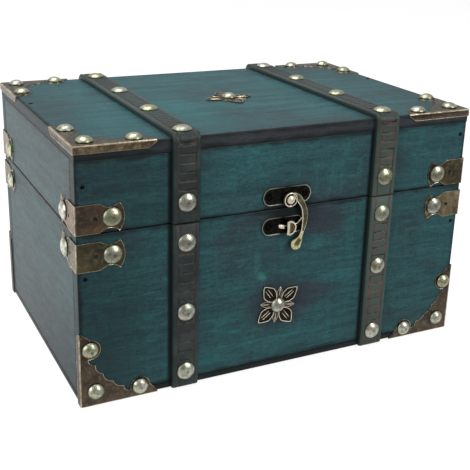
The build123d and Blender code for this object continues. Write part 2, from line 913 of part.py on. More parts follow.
with BuildPart() as latch_hook:
    with BuildSketch(hook_plane.offset(hook_back)):
        Circle(hook_ring_radius)
        stations = list(zip(hook_arm_places, hook_arm_radii))
        for (start, start_radius), (stop, stop_radius) in zip(stations, stations[1:]):
            tapered_bar(start, start_radius, stop, stop_radius)
    extrude(amount=hook_thick)
    with BuildSketch(hook_plane.offset(hook_back)):
        with BuildLine():
            sweep_angle = hook_root_angle - hook_tongue_angle
            inner = CenterArc(
                (0, 0), hook_tongue_reach - hook_tongue_width / 2, hook_tongue_angle, sweep_angle
            )
            outer = CenterArc(
                (0, 0), hook_tongue_reach + hook_tongue_width / 2, hook_tongue_angle, sweep_angle
            )
            Line(inner @ 0, outer @ 0)
            Line(inner @ 1, outer @ 1)
        make_face()
        tongue_root = (
            hook_tongue_reach * cos(radians(hook_root_angle)),
            hook_tongue_reach * sin(radians(hook_root_angle)),
        )
        tapered_bar(hook_arm_places[4], hook_arm_radii[4], tongue_root, hook_tongue_width / 2)
    extrude(amount=hook_tongue_thick)
    with Locations(hook_plane.offset(hook_front)):
        CounterBoreHole(ring_bore, hook_recess_radius, hook_recess_depth, hook_thick + cut_overrun)
finish(latch_hook, "latch_hook")

rivet_seat = hook_front - hook_recess_depth + hook_floor_gap
rivet_crown = rivet_seat + rivet_head_rim + rivet_head_dome
with BuildPart() as latch_rivet:
    with BuildSketch(Plane.XZ):
        with BuildLine():
            dome(rivet_head_radius, rivet_head_dome, rivet_crown)
            Polyline(
                (0, rivet_crown),
                (0, -rivet_clinch_thick),
                (rivet_clinch_radius, -rivet_clinch_thick),
                (rivet_clinch_radius, 0),
                (rivet_shank_radius, 0),
                (rivet_shank_radius, rivet_seat),
                (rivet_head_radius, rivet_seat),
                (rivet_head_radius, rivet_seat + rivet_head_rim),
            )
        make_face()
    revolve(axis=Axis.Z)
with BuildPart() as latch_rivet_in_place:
    with Locations(hook_plane):
        add(latch_rivet.part)
finish(latch_rivet_in_place, "latch_rivet")

# Butt hinges, each with two outer knuckles on the base and one middle knuckle on the lid

middle_knuckle = hinge_width * hinge_middle_share
outer_knuckle = (hinge_width - middle_knuckle) / 2 - hinge_knuckle_gap
outer_place = (hinge_width - outer_knuckle) / 2


def hinge_leaf(centre, direction, knuckles):
    """Leaf on the back face, up or down from the axis, with its knuckles given as places and lengths."""
    near = hinge_barrel_radius + hinge_leaf_gap
    axis_plane = Plane(
        origin=(centre, back_face.origin.Y + hinge_axis_out, floor_lift + seam),
        x_dir=(0, 1, 0),
        z_dir=(direction, 0, 0),
    )
    leaf_in = -hinge_axis_out
    leaf_out = hinge_leaf_thick - hinge_axis_out
    with BuildPart() as leaf:
        with BuildSketch(axis_plane):
            with BuildLine():
                Polyline(
                    (leaf_in, near),
                    (leaf_in, hinge_leaf_height),
                    (leaf_out, hinge_leaf_height),
                    (leaf_out, near),
                    close=True,
                )
            make_face()
        extrude(amount=hinge_width / 2, both=True)
        for place, length in knuckles:
            with BuildSketch(axis_plane.offset(place)):
                Circle(hinge_barrel_radius)
                with BuildLine():
                    Polyline((leaf_in, 0), (leaf_in, near), (leaf_out, near), (leaf_out, 0), close=True)
                make_face()
            extrude(amount=length / 2, both=True)
        bore = hinge_pin_radius + (hinge_pin_play if direction > 0 else hinge_pin_fit)
        with Locations(axis_plane):
            Cylinder(bore, hinge_width + cut_overrun, mode=Mode.SUBTRACT)
        places = lid_hinge_screw_places if direction > 0 else base_hinge_screw_places
        screw_seats(back_face, hinge_leaf_thick, places, hinge_screw_head_radius, hinge_screw_radius)
    return leaf


for side_name, side in (("left", -1), ("right", 1)):
    lid_leaf = hinge_leaf(side * hinge_offset, 1, [(0, middle_knuckle)])
    finish(lid_leaf, f"hinge_lid_leaf_{side_name}")
    base_leaf = hinge_leaf(
        side * hinge_offset, -1, [(-outer_place, outer_knuckle), (outer_place, outer_knuckle)]
    )
    finish(base_leaf, f"hinge_base_leaf_{side_name}")

pin_plane = Plane(
    origin=(0, back_face.origin.Y + hinge_axis_out, floor_lift + seam), x_dir=(0, 1, 0), z_dir=(1, 0, 0)
)
with BuildPart() as hinge_pins:
    for side in (-1, 1):
        with BuildSketch(pin_plane.offset(side * hinge_offset)):
            Circle(hinge_pin_radius)
        extrude(amount=hinge_width / 2, both=True)
        for end in (-1, 1):
            with BuildSketch(pin_plane.offset(side * hinge_offset + end * hinge_width / 2)):
                Circle(hinge_pin_head_radius)
            extrude(amount=end * hinge_pin_head_thick)
finish(hinge_pins, "hinge_pins")
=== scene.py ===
import math

import bmesh
import bpy
from mathutils import Matrix, Vector


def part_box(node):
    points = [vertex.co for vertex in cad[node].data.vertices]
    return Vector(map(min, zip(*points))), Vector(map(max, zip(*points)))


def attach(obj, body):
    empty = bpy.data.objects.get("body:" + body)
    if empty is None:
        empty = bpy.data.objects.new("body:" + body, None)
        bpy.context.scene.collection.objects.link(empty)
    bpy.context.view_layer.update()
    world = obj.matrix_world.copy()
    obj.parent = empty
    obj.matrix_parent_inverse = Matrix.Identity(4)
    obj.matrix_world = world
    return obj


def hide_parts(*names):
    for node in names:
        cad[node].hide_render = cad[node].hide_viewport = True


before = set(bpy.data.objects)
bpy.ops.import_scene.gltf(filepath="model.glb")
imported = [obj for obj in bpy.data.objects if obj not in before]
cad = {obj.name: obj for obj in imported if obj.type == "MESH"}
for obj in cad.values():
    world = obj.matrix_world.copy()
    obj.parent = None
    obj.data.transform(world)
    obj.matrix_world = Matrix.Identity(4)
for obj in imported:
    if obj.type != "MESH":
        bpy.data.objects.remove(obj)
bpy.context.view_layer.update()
scene = bpy.context.scene

MM = 0.001

# Sizes in millimetres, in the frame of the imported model. The chest:
floor_lift = 0.8
half_width = 137.5
half_depth = 92.0
wood_low = (-half_width, -half_depth, floor_lift)
wood_top = 163.0 + floor_lift
wood_high = (half_width, half_depth, wood_top)
seam = 110.5 + floor_lift
seam_gap = 0.4
strap_back_gap = 4.0
rosette_height = 44.0 + floor_lift
merge_gap = 0.002

# Folded sheet: width of the worn edge, painted bright as a highlight, reach of a hole and of its
# dark ring, how proud an outer face stands, and the trim of the lips of the lid's brackets
edge_highlight_width = 0.34
edge_drop = 0.2
hole_reach = 2.0
hole_ring = 2.4
proud = 0.3
lip_start = wood_top - 0.5
lip_trim = 1.2

# Heads: radius and height as seen, and how far the head of the solid rises
large_stud = (6.0, 2.4, 3.8)
small_stud = (5.3, 3.0, 3.8)
nail = (1.4, 0.65, 0.0)
# Half a stud's outline, by distance from its middle and height: dimple, dome, rim and back
stud_outline = [
    (0.0, 3.0), (0.5, 3.02), (1.0, 3.14), (1.5, 3.2), (2.2, 3.14), (3.1, 2.86),
    (4.1, 2.34), (5.0, 1.64), (5.5, 1.0), (5.84, 0.58), (6.0, 0.34), (5.88, 0.12),
    (5.5, 0.0), (0.0, 0.0),
]
outline_radius, outline_height = 6.0, 3.2
# Share of the radius where the painted shade of the rim starts, and the less dark dimple
rim_shade_start = 0.88
dimple_radius = 1.5
dimple_share = 0.6

# Straps: section, bends with their creases, and rounded ends
strap_half = 8.7
strap_thick = 3.5
strap_waist = 1.3
strap_bevel = 1.1
bevel_in, bevel_down = 0.35, 0.45
strap_bend = 0.8
strap_arc = strap_bend * math.pi / 2
crease_half = 0.35
crease_above = 2.0
foot_round = 2.0
end_round = 1.0
end_drop = 1.1
side_share = 0.8
# The ladder pressed into them: rails, and pitch, half width and depth of rungs
ladder_half = 5.3
rail_depth = 0.3
rail_wall = 0.7
rung_rows = (3.2, 1.0)
rung_wall = 0.3
front_rung = (5.9, 0.38, 0.3)
top_rung = (3.9, 0.7, 0.5)
rung_slack = 0.05
stud_clear = 7.6
bend_clear = 3.0
# Cuts across a strap near either end and its foot, and the least distance between cuts
end_cuts = (0.3, 0.8)
foot_cuts = (1.4, 2.0)
least_cut = 0.12

# Petals and leaves: root, tip, half width, height, width of the rim and depth of the field
petal_shape = (3.8, 17.6, 4.8, 0.95, 0.48, 0.5)
leaf_shape = (3.8, 12.8, 2.0, 0.5, 0.2, 0.1)
# Their ribs: root, tip, half width, height and the height that they start from
petal_rib = (6.8, 14.6, 0.24, 0.35, 0.4)
leaf_rib = (6.0, 12.6, 0.28, 0.35, 0.4)
rib_taper = 0.7
rib_offset = 0.95
heart_radius, heart_top_radius, heart_height = 6.0, 5.2, 0.9

# Latch plates: round ends, a rim and a step down; the rim is least rubbed along its middle
plate_radius = 5.8
plate_thick = 1.2
plate_rim = 0.36
plate_step = 0.3
plate_sink = 0.3
lobe_share = 0.3
least_worn = 0.12

# Keeper's loop, with one flat side, and its legs
loop_shift = 0.4
loop_half_width = 3.4
loop_half_height = 4.9
loop_top = 5.5
loop_wall = 1.2
loop_round = 0.73
loop_dent = 0.4
loop_corner = (-1.2, 2.8)
loop_rim = 1.35
loop_rim_shift = 0.45
loop_step = 0.35
loop_sink = 0.45
leg_size = (4.2, 1.2)
leg_place = (0.4, 4.0)
leg_below = 0.6
leg_bevel = 0.25

# Hook: its pivot, its reach to the tongue, the heights of its back and front, and its ring
pivot_height = seam + 6.3
hook_reach = 18.3
hook_back = 1.9
hook_front = 4.0
ring_bore = 1.68
ring_inner = 3.85
ring_outer = 4.7
ring_floor = 2.9
rivet_share = 0.9
# Stations of its arm, from the ring to the end of the tail: x, y and half width
arm_places = [
    (1.6, 3.9, 0.75), (3.6, 2.5, 1.5), (5.2, 0.7, 2.1), (7.0, -1.6, 2.05),
    (9.1, -5.0, 1.8), (10.4, -9.0, 1.95), (10.8, -13.0, 1.9), (10.5, -17.4, 1.65),
    (9.4, -22.2, 1.15), (8.3, -25.4, 1.4), (7.0, -28.2, 2.6), (5.4, -30.4, 3.9),
]
# Its tail: the solid neck, the hollow's pinched start and its end, and where yellower metal starts
neck_far = 9.0
neck_near = 4.0
hollow_lead = 0.8
hollow_end = 1.4
hollow_pinch = 0.35
tail_below = -23.0
# Its tongue: root, angles round the pivot, section, and the gap from its bright end to the loop;
# from there on the tongue is painted dark as shadow
tongue_root = (11.0, -12.8, 1.5)
tongue_angles = range(290, 248, -5)
tongue_half = 1.2
tongue_top = 3.5
tongue_gap = 0.6

smooth = {"interpolation_type": "SMOOTHSTEP"}


def tint(code):
    """Linear colour of an sRGB hex code."""
    parts = [int(code[i : i + 2], 16) / 255 for i in (1, 3, 5)]
    return [c / 12.92 if c <= 0.04045 else ((c + 0.055) / 1.055) ** 2.4 for c in parts] + [1.0]


def add(tree, kind, inputs=None, **settings):
    """Add a shader node and return its outputs. An input is a number, a hex colour or a socket."""
    made = tree.nodes.new("ShaderNode" + kind)
    for key, value in settings.items():
        setattr(made, key, value)
    for key, value in (inputs or {}).items():
        if isinstance(value, bpy.types.NodeSocket):
            tree.links.new(value, made.inputs[key])
        else:
            made.inputs[key].default_value = tint(value) if isinstance(value, str) else value
    return made.outputs


def begin(name):
    """New material with an empty node tree and object coordinates."""
    made = bpy.data.materials.new(name)
    made.use_nodes = True
    tree = made.node_tree
    tree.nodes.clear()
    where = add(tree, "TexCoord")["Object"]
    return made, tree, where


def finish(made, coats, grain, rough, relief, surface):
    """Close a material: a ground colour, then coats with their shares. One grain gives the range
    of roughness and the relief, by its strength and height."""
    tree = made.node_tree
    colour = coats[0]
    for share, coat in coats[1:]:
        colour = add(tree, "Mix", {0: share, 6: colour, 7: coat}, data_type="RGBA")[2]
    roughness = add(tree, "MapRange", {"Value": grain, "To Min": rough[0], "To Max": rough[1]})[0]
    dents = {"Height": grain, "Strength": relief[0], "Distance": relief[1] * MM}
    normal = add(tree, "Bump", dents)[0]
    inputs = {"Base Color": colour, "Roughness": roughness, "Normal": normal}
    shader = add(tree, "BsdfPrincipled", surface | inputs)[0]
    add(tree, "OutputMaterial", {"Surface": shader})
    return made


def patches(tree, where, size, place, low, high, detail=3.0, twist=0.0, top=1.0):
    """Soft-edged patches of noise: cells of a size, from 0 below low to top above high."""
    scale = [1 / (s * MM) for s in size]
    mapping = {"Vector": where, "Scale": scale, "Location": place}
    mapped = add(tree, "Mapping", mapping)[0]
    noise = {"Vector": mapped, "Scale": 1.0, "Roughness": 0.6}
    noise |= {"Detail": detail, "Distortion": twist}
    cells = add(tree, "TexNoise", noise)[0]
    spread = {"Value": cells, "From Min": low, "From Max": high, "To Max": top}
    return add(tree, "MapRange", spread, **smooth)[0]


def blot(tree, where, centre, size, strength):
    """Soft round patch at a centre, with its half sizes: stains, painted shade, and the leather's
    handled and faded patches.
    """
    scale = [1 / (s * MM) for s in size]
    place = [-c / s for c, s in zip(centre, size)]
    mapping = {"Vector": where, "Scale": scale, "Location": place}
    mapped = add(tree, "Mapping", mapping)[0]
    reach = add(tree, "VectorMath", {0: mapped}, operation="LENGTH")["Value"]
    spread = {"Value": reach, "From Min": 1.0, "From Max": 0.2, "To Max": strength}
    return add(tree, "MapRange", spread, **smooth)[0]


def edge_distance(tree, where, low, high):
    """Distance in metres from a point on a board to its nearest edge."""
    off = add(tree, "VectorMath", {0: where, 1: (low + high) / 2}, operation="SUBTRACT")[0]
    out = add(tree, "VectorMath", {0: off}, operation="ABSOLUTE")[0]
    left = add(tree, "VectorMath", {0: (high - low) / 2, 1: out}, operation="SUBTRACT")[0]
    x, y, z = add(tree, "SeparateXYZ", {0: left})
    least = add(tree, "Math", {0: x, 1: y}, operation="MINIMUM")[0]
    most = add(tree, "Math", {0: x, 1: y}, operation="MAXIMUM")[0]
    third = add(tree, "Math", {0: most, 1: z}, operation="MINIMUM")[0]
    return add(tree, "Math", {0: least, 1: third}, operation="MAXIMUM")[0]


# Patterns of the stain: length along the grain, width, the noise where each starts and is full,
# detail, twist and strongest share. The last is how ragged the dark edge is, in metres.
wood_patterns = {
    "streaks": (60, 5, 0.3, 0.7, 5.0, 0.2, 1.0),
    "fibres": (8, 0.8, 0.32, 0.68, 5.0, 0.3, 1.0),
    "pooled": (70, 36, 0.46, 0.7, 4.0, 0.6, 0.75),
    "rubbed": (26, 14, 0.56, 0.8, 5.0, 1.2, 0.5),
    "brushed": (7, 34, 0.5, 0.75, 3.0, 0.3, 0.22),
    "scratches": (30, 0.9, 0.6, 0.78, 3.0, 0.0, 0.45),
    "pores": (1.8, 1.8, 0.42, 0.7, 2.0, 0.0, 0.3),
    "ragged": (16, 9, 0.3, 0.7, 3.0, 0.2, 2.0 * MM),
}


def stained_wood(name, grain, low, high, seed, tones, gloss, blots):
    """Light wood with a blue-green water stain: streaked along the grain, browner where it pooled,
    brighter where it was rubbed back, dark between fibres, in pores and along edges. Blots add
    stains and painted shade."""
    made, tree, where = begin(name)
    shift = [seed * 3.1, seed * 1.7, seed * 2.3]
    pattern = {}
    for key, (length, width, *levels) in wood_patterns.items():
        size = [length if axis == grain else width for axis in range(3)]
        pattern[key] = patches(tree, where, size, shift, *levels)
    between = add(tree, "MapRange", {"Value": pattern["fibres"], "To Min": 0.36, "To Max": 0.0})[0]
    reach = {0: edge_distance(tree, where, low, high), 1: pattern["ragged"]}
    rim = add(tree, "Math", reach, operation="ADD")[0]
    fade = {"Value": rim, "From Min": 1.0 * MM, "From Max": 4.5 * MM, "To Min": 0.85, "To Max": 0.0}
    dark = add(tree, "MapRange", fade, **smooth)[0]
    coats = [tones[0], (pattern["streaks"], tones[1]), (pattern["pooled"], tones[2])]
    coats += [(pattern[key], tones[3]) for key in ("rubbed", "brushed", "scratches")]
    coats += [(blot(tree, where, *mark), blot_colour) for *mark, blot_colour in blots]
    coats += [(between, "#0b1719"), (pattern["pores"], "#0e1c20"), (dark, "#0e1416")]
    surface = {"IOR": 1.45, "Specular IOR Level": gloss}
    return finish(made, coats, pattern["fibres"], (0.44, 0.56), (0.35, 0.1), surface)


def faux_leather():
    """Embossed imitation leather: dark grey-green with a fine pebble, greyer where handled or
    faded, nearly black in its pressed lines as painted shade in the grooves, and rubbed red-brown
    along parts of them."""
    made, tree, where = begin("embossed_faux_leather")
    line = add(tree, "Attribute", attribute_name="line")["Fac"]
    side = add(tree, "Attribute", attribute_name="side")["Fac"]
    cloud = patches(tree, where, (14, 14, 14), (4.0, 2.0, 7.0), 0.35, 0.7, detail=4.0)
    pebble = patches(tree, where, (0.9, 0.9, 0.9), (0.0, 0.0, 0.0), 0.35, 0.65, detail=2.0)
    worn = patches(tree, where, (5, 30, 5), (9.0, 3.0, 1.0), 0.37, 0.64, detail=4.0, top=0.8)
    handled = blot(tree, where, (74, -half_depth, 82), (40, 60, 130), 0.65)
    faded = blot(tree, where, (0, 0, wood_top + strap_thick), (400, 110, 6), 0.8)
    # On the faded top the rubbed colour in the lines gives way to near black, as painted shade
    rust = "#413a2d"
    for share, coat in ((handled, "#84463a"), (faded, "#101313")):
        rust = add(tree, "Mix", {0: share, 6: rust, 7: coat}, data_type="RGBA")[2]
    redden = add(tree, "Math", {0: line, 1: worn}, operation="MULTIPLY")[0]
    coats = ["#1a2322", (cloud, "#283331"), (handled, "#414f46"), (faded, "#3b4a49")]
    # Near black in the pressed lines: painted shade in the grooves
    coats += [(side, "#16201f"), (line, "#101313"), (redden, rust)]
    surface = {"IOR": 1.46, "Specular IOR Level": 0.4}
    return finish(made, coats, pebble, (0.42, 0.58), (0.45, 0.1), surface)


def aged_metal(name, deep, mid, light, rough, size, rubbed=None, metallic=1.0):
    """Aged metal: three tones of patina in clouds of a size, fine handling marks, and a rubbed
    colour where the piece is worn."""
    made, tree, where = begin(name)
    cloud = patches(tree, where, (size,) * 3, (1.0, 5.0, 2.0), 0.35, 0.65, 4.0, 0.4)
    spots = patches(tree, where, (size / 5,) * 3, (7.0, 1.0, 3.0), 0.45, 0.75, 3.0, 0.2, 0.6)
    marks = patches(tree, where, (2.4,) * 3, (2.0, 2.0, 9.0), 0.3, 0.7, 5.0, 1.5)
    coats = [deep, (cloud, mid), (spots, light)]
    if rubbed:
        worn = add(tree, "Attribute", attribute_name="worn")["Fac"]
        coats.append((worn, rubbed))
    rough_range = (rough - 0.08, rough + 0.1)
    return finish(made, coats, marks, rough_range, (0.4, 0.05), {"Metallic": metallic})


def stud_brass():
    """Stamped brass under pale lacquer: some silvery, some yellower, mottled green-brown, dark in
    the dimple, and with painted shade at the rim where the dome turns under."""
    made, tree, where = begin("stamped_pale_brass")
    rim = add(tree, "Attribute", attribute_name="rim")["Fac"]
    batch = patches(tree, where, (42, 42, 42), (3.0, 8.0, 5.0), 0.4, 0.6, detail=1.0)
    cloud = patches(tree, where, (3.2, 3.2, 3.2), (5.0, 2.0, 8.0), 0.42, 0.68, 2.0, 0.4, 0.7)
    tarnish = patches(tree, where, (2.0, 2.0, 2.0), (1.0, 6.0, 2.0), 0.5, 0.68, 3.0, 0.4, 0.6)
    coats = ["#d6d3c6", (batch, "#c9c9a6"), (cloud, "#7c947e"), (tarnish, "#8b7450")]
    # Painted shade at the rim, and the darker dimple
    coats.append((rim, "#33382c"))
    return finish(made, coats, cloud, (0.32, 0.46), (0.4, 0.08), {"Metallic": 1.0})


leather = faux_leather()
brass = stud_brass()

# Metals: deep, middle and light tones, roughness and size of the clouds.
# Pressed bronze sheet: smoky browns, golden on lips, darkest on the lid's brackets, pale cut edges
# whose pale colour is partly a painted highlight
bronze_sheet = aged_metal("antique_bronze_sheet", "#61564c", "#836a56", "#9a8d79", 0.4, 13.0)
bronze_golden = aged_metal("golden_bronze_sheet", "#6f634e", "#a39273", "#d6c7a2", 0.42, 9.0)
bronze_brown = aged_metal("browned_bronze_sheet", "#49423a", "#635649", "#807463", 0.4, 13.0)
bronze_olive = aged_metal("olive_bronze_sheet", "#544f43", "#736850", "#989070", 0.4, 13.0)
edge_highlight_bronze = aged_metal("worn_bronze_edge_highlight", "#8f806b", "#d4c5aa", "#e6dac4", 0.42, 7.0)
hinge_bronze = aged_metal("antique_bronze_hinge", "#5a4b3a", "#766649", "#958662", 0.4, 8.0)
# Latch: nearly black plates with rubbed cream rims, olive and brown hollows between bright rims;
# the bright rims' near-white colour, with metallic lowered, is rubbed metal with a painted
# highlight
plate_bronze = aged_metal("blackened_bronze", "#181b1b", "#2b2d2a", "#4b4b40", 0.36, 6.0, "#dedac4")
latch_tones = ("#d2c9b0", "#ebe3cd", "#f6f1e2")
rubbed_rim_highlight = aged_metal("rubbed_bronze_rim_highlight", *latch_tones, 0.3, 5.0, metallic=0.55)
tail_tones = ("#c6bf88", "#ddd8a8", "#f0ecc8")
tail_rubbed_highlight = aged_metal("rubbed_brass_tail_highlight", *tail_tones, 0.3, 5.0, metallic=0.6)
hook_field = aged_metal("olive_brass_recess", "#666148", "#95916f", "#bab68f", 0.36, 5.0)
loop_field = aged_metal("brown_brass_recess", "#7a6a48", "#9a885e", "#b3a47c", 0.36, 3.0)
# Rosettes: the petals' fields look scorched, and the slim leaves are dull brown
petal_field = aged_metal("browned_brass_field", "#241f1b", "#39302a", "#54493d", 0.42, 4.0)
leaf_brass = aged_metal("dulled_brass_leaf", "#463c34", "#5f5347", "#7c6e5c", 0.42, 4.0)
# Steel: soot-black screws and holes, and blued nails that catch a point of light
steel_dark = aged_metal("blackened_steel", "#0f0d0d", "#1a1717", "#2a2726", 0.5, 3.0)
nail_steel = aged_metal("blued_wire_steel", "#12181a", "#1c2426", "#333d40", 0.28, 3.0)

purple = "#2f2936"
# Near black, used for painted shade on the front
shade_black = "#0a1316"
turquoise = "#35917f"
teal = "#256f70"
slate = "#2c3c42"
edge_shadow = "#15181a"
deep = 12

# Stains and painted shade: middle, half sizes, share and colour
stains_and_shade = {
    "lid_top_board": [
        ((-48, -30, wood_top), (34, 110, deep), 0.32, teal),
        ((-98, -40, wood_top), (34, 60, deep), 0.3, teal),
        ((40, 20, wood_top), (40, 60, deep), 0.15, teal),
        ((-half_width + 4, 0, wood_top), (34, 150, deep), 0.42, slate),
        ((half_width, -20, wood_top), (60, 90, deep), 0.3, slate),
        ((0, -half_depth, wood_top), (220, 46, deep), 0.3, slate),
        # Painted shadow along the top board's left and front edges; the front band is partly stain
        # too
        ((-half_width, 0, wood_top), (2.2, 900, 60), 0.6, edge_shadow),
        ((0, -half_depth, wood_top), (900, 2.4, 60), 0.86, "#312c31"),
        ((-half_width, -half_depth, wood_top), (80, 2.4, 60), 0.8, edge_shadow),
    ],
    # Painted shade: the left side darker towards the floor
    "base_left_board": [((-half_width, 0, 0), (12, 220, 80), 0.8, "#10282e")],
}

# Stains and painted shade on the front: x and height of the middle, half width and height,
# share and colour
front_stains_and_shade = {
    "lid_front_board": [
        (-30, seam + 34, 34, 9, 0.16, teal),
        (34, seam + 26, 30, 8, 0.16, teal),
        (24, seam + 1, 34, 9, 0.6, purple),
        (-4, seam + 14, 24, 6, 0.4, purple),
        # Painted shadow round and under the latch
        (0, seam - 2, 27, 21, 0.95, shade_black),
        # Painted shade, darker towards the left end of the lid's front
        (-half_width + 20, seam + 30, 80, 90, 0.38, shade_black),
    ],
    "base_front_board": [
        (26, seam - 12, 30, 20, 0.7, purple),
        (-4.5, rosette_height, 32, 26, 0.75, purple),
        (16, rosette_height + 3, 36, 17, 0.5, purple),
        # Painted shade round the rosette
        (-4.5, rosette_height, 24, 20, 0.5, shade_black),
        (40, rosette_height + 13, 26, 6, 0.28, teal),
        (2, rosette_height - 25, 46, 8, 0.2, teal),
        (-62, rosette_height - 30, 34, 7, 0.25, teal),
        (22, seam - 26, 14, 8, 0.25, teal),
        # Painted shadow round and under the keeper
        (0, seam - 3, 24, 21, 0.95, shade_black),
        # Painted shade, darker towards the left end of the base's front
        (-half_width, 50, 75, 120, 0.5, shade_black),
        (-17.6, rosette_height + 22.4, 4.4, 3.4, 0.42, turquoise),
        (-15.4, rosette_height + 20.2, 3.2, 2.6, 0.3, turquoise),
        (-20.5, rosette_height + 32, 3.6, 12, 0.12, turquoise),
    ],
}
for board, rows in front_stains_and_shade.items():
    # Painted shadow along the left edge of each strap
    for side_name in ("left", "right"):
        low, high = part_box("lid_strap_" + side_name)
        rows.append((low.x / MM - 0.6, seam, 2.6, 400, 0.9, shade_black))
    stains_and_shade[board] = [
        ((x, -half_depth, z), (wide, deep, tall), share, blot_colour)
        for x, z, wide, tall, share, blot_colour in rows
    ]

# Tones: dark and mid tone of the streaks, then where the stain pooled and where it was rubbed back
front_tones = ("#1e4247", "#285255", "#2b353b", "#246f6c")
top_tones = ("#26494e", "#31656a", "#35444c", "#2a7f7d")
bottom_tones = ("#1d2224", "#2b2a2d", "#262429", "#20302f")
side_tones = ("#1a373c", "#294f54", "#232c31", "#24605f")

# Boards: axis of the grain, a number that sets the pattern apart, tones and gloss
boards = {
    "base_bottom_board": (0, 1.0, bottom_tones, 0.2),
    "base_front_board": (0, 2.0, front_tones, 0.22),
    "base_back_board": (0, 3.0, front_tones, 0.22),
    "base_left_board": (1, 4.0, side_tones, 0.36),
    "base_right_board": (1, 5.0, side_tones, 0.42),
    "lid_top_board": (0, 6.0, top_tones, 0.22),
    "lid_front_board": (0, 7.0, front_tones, 0.22),
    "lid_back_board": (0, 8.0, front_tones, 0.22),
    "lid_left_board": (1, 9.0, side_tones, 0.42),
    "lid_right_board": (1, 10.0, side_tones, 0.42),
}


def dress(name, material):
    """Give a CAD node one material."""
    slots = cad[name].data.materials
    slots.clear()
    slots.append(material)


for board, (grain, seed, tones, gloss) in boards.items():
    low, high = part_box(board)
    blots = stains_and_shade.get(board, [])
    wood = stained_wood("stained_wood_" + board, grain, low, high, seed, tones, gloss, blots)
    dress(board, wood)
for node in cad:
    if node.endswith("screws"):
        dress(node, steel_dark)
    elif node == "hinge_pins":
        dress(node, hinge_bronze)

# Pieces made in bmesh, in millimetres


def new_object(name, bm, materials):
    """Object at the origin with the mesh of a bmesh, which is freed."""
    mesh = bpy.data.meshes.new(name)
    bm.to_mesh(mesh)
    bm.free()
    for material in materials:
        mesh.materials.append(material)
    made = bpy.data.objects.new(name, mesh)
    scene.collection.objects.link(made)
    return made


def weld(bm):
    """Join vertices that lie on each other."""
    bmesh.ops.remove_doubles(bm, verts=bm.verts, dist=merge_gap)


def move(bm, matrix):
    """Move a bmesh by a matrix."""
    bmesh.ops.transform(bm, matrix=matrix, verts=bm.verts)


def place_piece(name, bm, materials, body, nodes, sharp=35.0):
    """Make a bmesh in millimetres a piece that rides on a body and stands for CAD nodes."""
    weld(bm)
    bmesh.ops.recalc_face_normals(bm, faces=bm.faces)
    bmesh.ops.scale(bm, vec=(MM, MM, MM), verts=bm.verts)
    for face in bm.faces:
        face.smooth = True
    for edge in bm.edges:
        edge.smooth = edge.calc_face_angle(math.pi) < math.radians(sharp)
    made = new_object(name, bm, materials)
    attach(made, body)
    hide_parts(*nodes)


def merged_copy(node):
    """Mesh of a CAD node in millimetres, with its triangles joined."""
    bm = bmesh.new()
    bm.from_mesh(cad[node].data)
    bmesh.ops.scale(bm, vec=(1 / MM,) * 3, verts=bm.verts)
    weld(bm)
    paint(bm.faces, 0)
    return bm


def join(target, other, matrix=Matrix.Identity(4)):
    """Copy one bmesh into another, moved by a matrix."""
    move(other, matrix)
    mesh = bpy.data.meshes.new("part")
    other.to_mesh(mesh)
    other.free()
    target.from_mesh(mesh)
    bpy.data.meshes.remove(mesh)


def groups(items, neighbours):
    """Connected groups of items, by a function that lists an item's neighbours."""
    left = set(items)
    found = []
    while left:
        front = [left.pop()]
        whole = []
        while front:
            item = front.pop()
            whole.append(item)
            for other in neighbours(item):
                if other in left:
                    left.remove(other)
                    front.append(other)
        found.append(whole)
    return found


def islands(node):
    """Lowest and highest corner of each solid of a node."""
    bm = merged_copy(node)
    found = []
    for whole in groups(bm.verts, lambda vert: [e.other_vert(vert) for e in vert.link_edges]):
        corners = [Vector([end(v.co[i] for v in whole) for i in range(3)]) for end in (min, max)]
        found.append(corners)
    bm.free()
    return sorted(found, key=lambda pair: tuple(round(c, 2) for c in pair[0]))


def face_matrix(centre, outward):
    """Frame at a point of a face: z outwards, x to the right as seen from outside."""
    z = Vector(outward)
    x = Vector((1, 0, 0)) if abs(z.z) > 0.5 else Vector((-z.y, z.x, 0))
    y = z.cross(x)
    turn = Matrix((x, y, z)).transposed().to_4x4()
    return Matrix.Translation(centre) @ turn


def disc(segments, radius=1.0):
    """New bmesh with a round face on the XY plane."""
    bm = bmesh.new()
    bmesh.ops.create_circle(bm, cap_ends=True, segments=segments, radius=radius)
    return bm


def raised(bm, height):
    """Give a flat bmesh a height, and return the vertices of its top."""
    grown = bmesh.ops.extrude_face_region(bm, geom=bm.faces[:])
    top = [g for g in grown["geom"] if isinstance(g, bmesh.types.BMVert)]
    bmesh.ops.translate(bm, vec=(0, 0, height), verts=top)
    return top


def top_face(bm):
    """The highest face of a bmesh."""
    return max(bm.faces, key=lambda face: face.calc_center_median().z)


def paint(faces, metal):
    """Give faces one of a piece's materials."""
    for face in faces:
        face.material_index = metal


def inset(bm, face, width, sink=0):
    """Inset and sink a face; return the band round it."""
    return bmesh.ops.inset_region(bm, faces=[face], thickness=width, depth=-sink)["faces"]


def tube_grid(bm, rows, columns):
    """Grid whose columns will close into a section: each vertex with its row and column."""
    bmesh.ops.create_grid(bm, x_segments=rows, y_segments=columns, size=1)
    return [
        (vert, round((vert.co.x + 1) / 2 * rows), round((vert.co.y + 1) / 2 * columns) % columns)
        for vert in bm.verts
    ]


def close_tube(bm):
    """Merge the edges of a tube and fill its ends."""
    weld(bm)
    open_edges = [edge for edge in bm.edges if len(edge.link_faces) == 1]
    bmesh.ops.holes_fill(bm, edges=open_edges, sides=0)


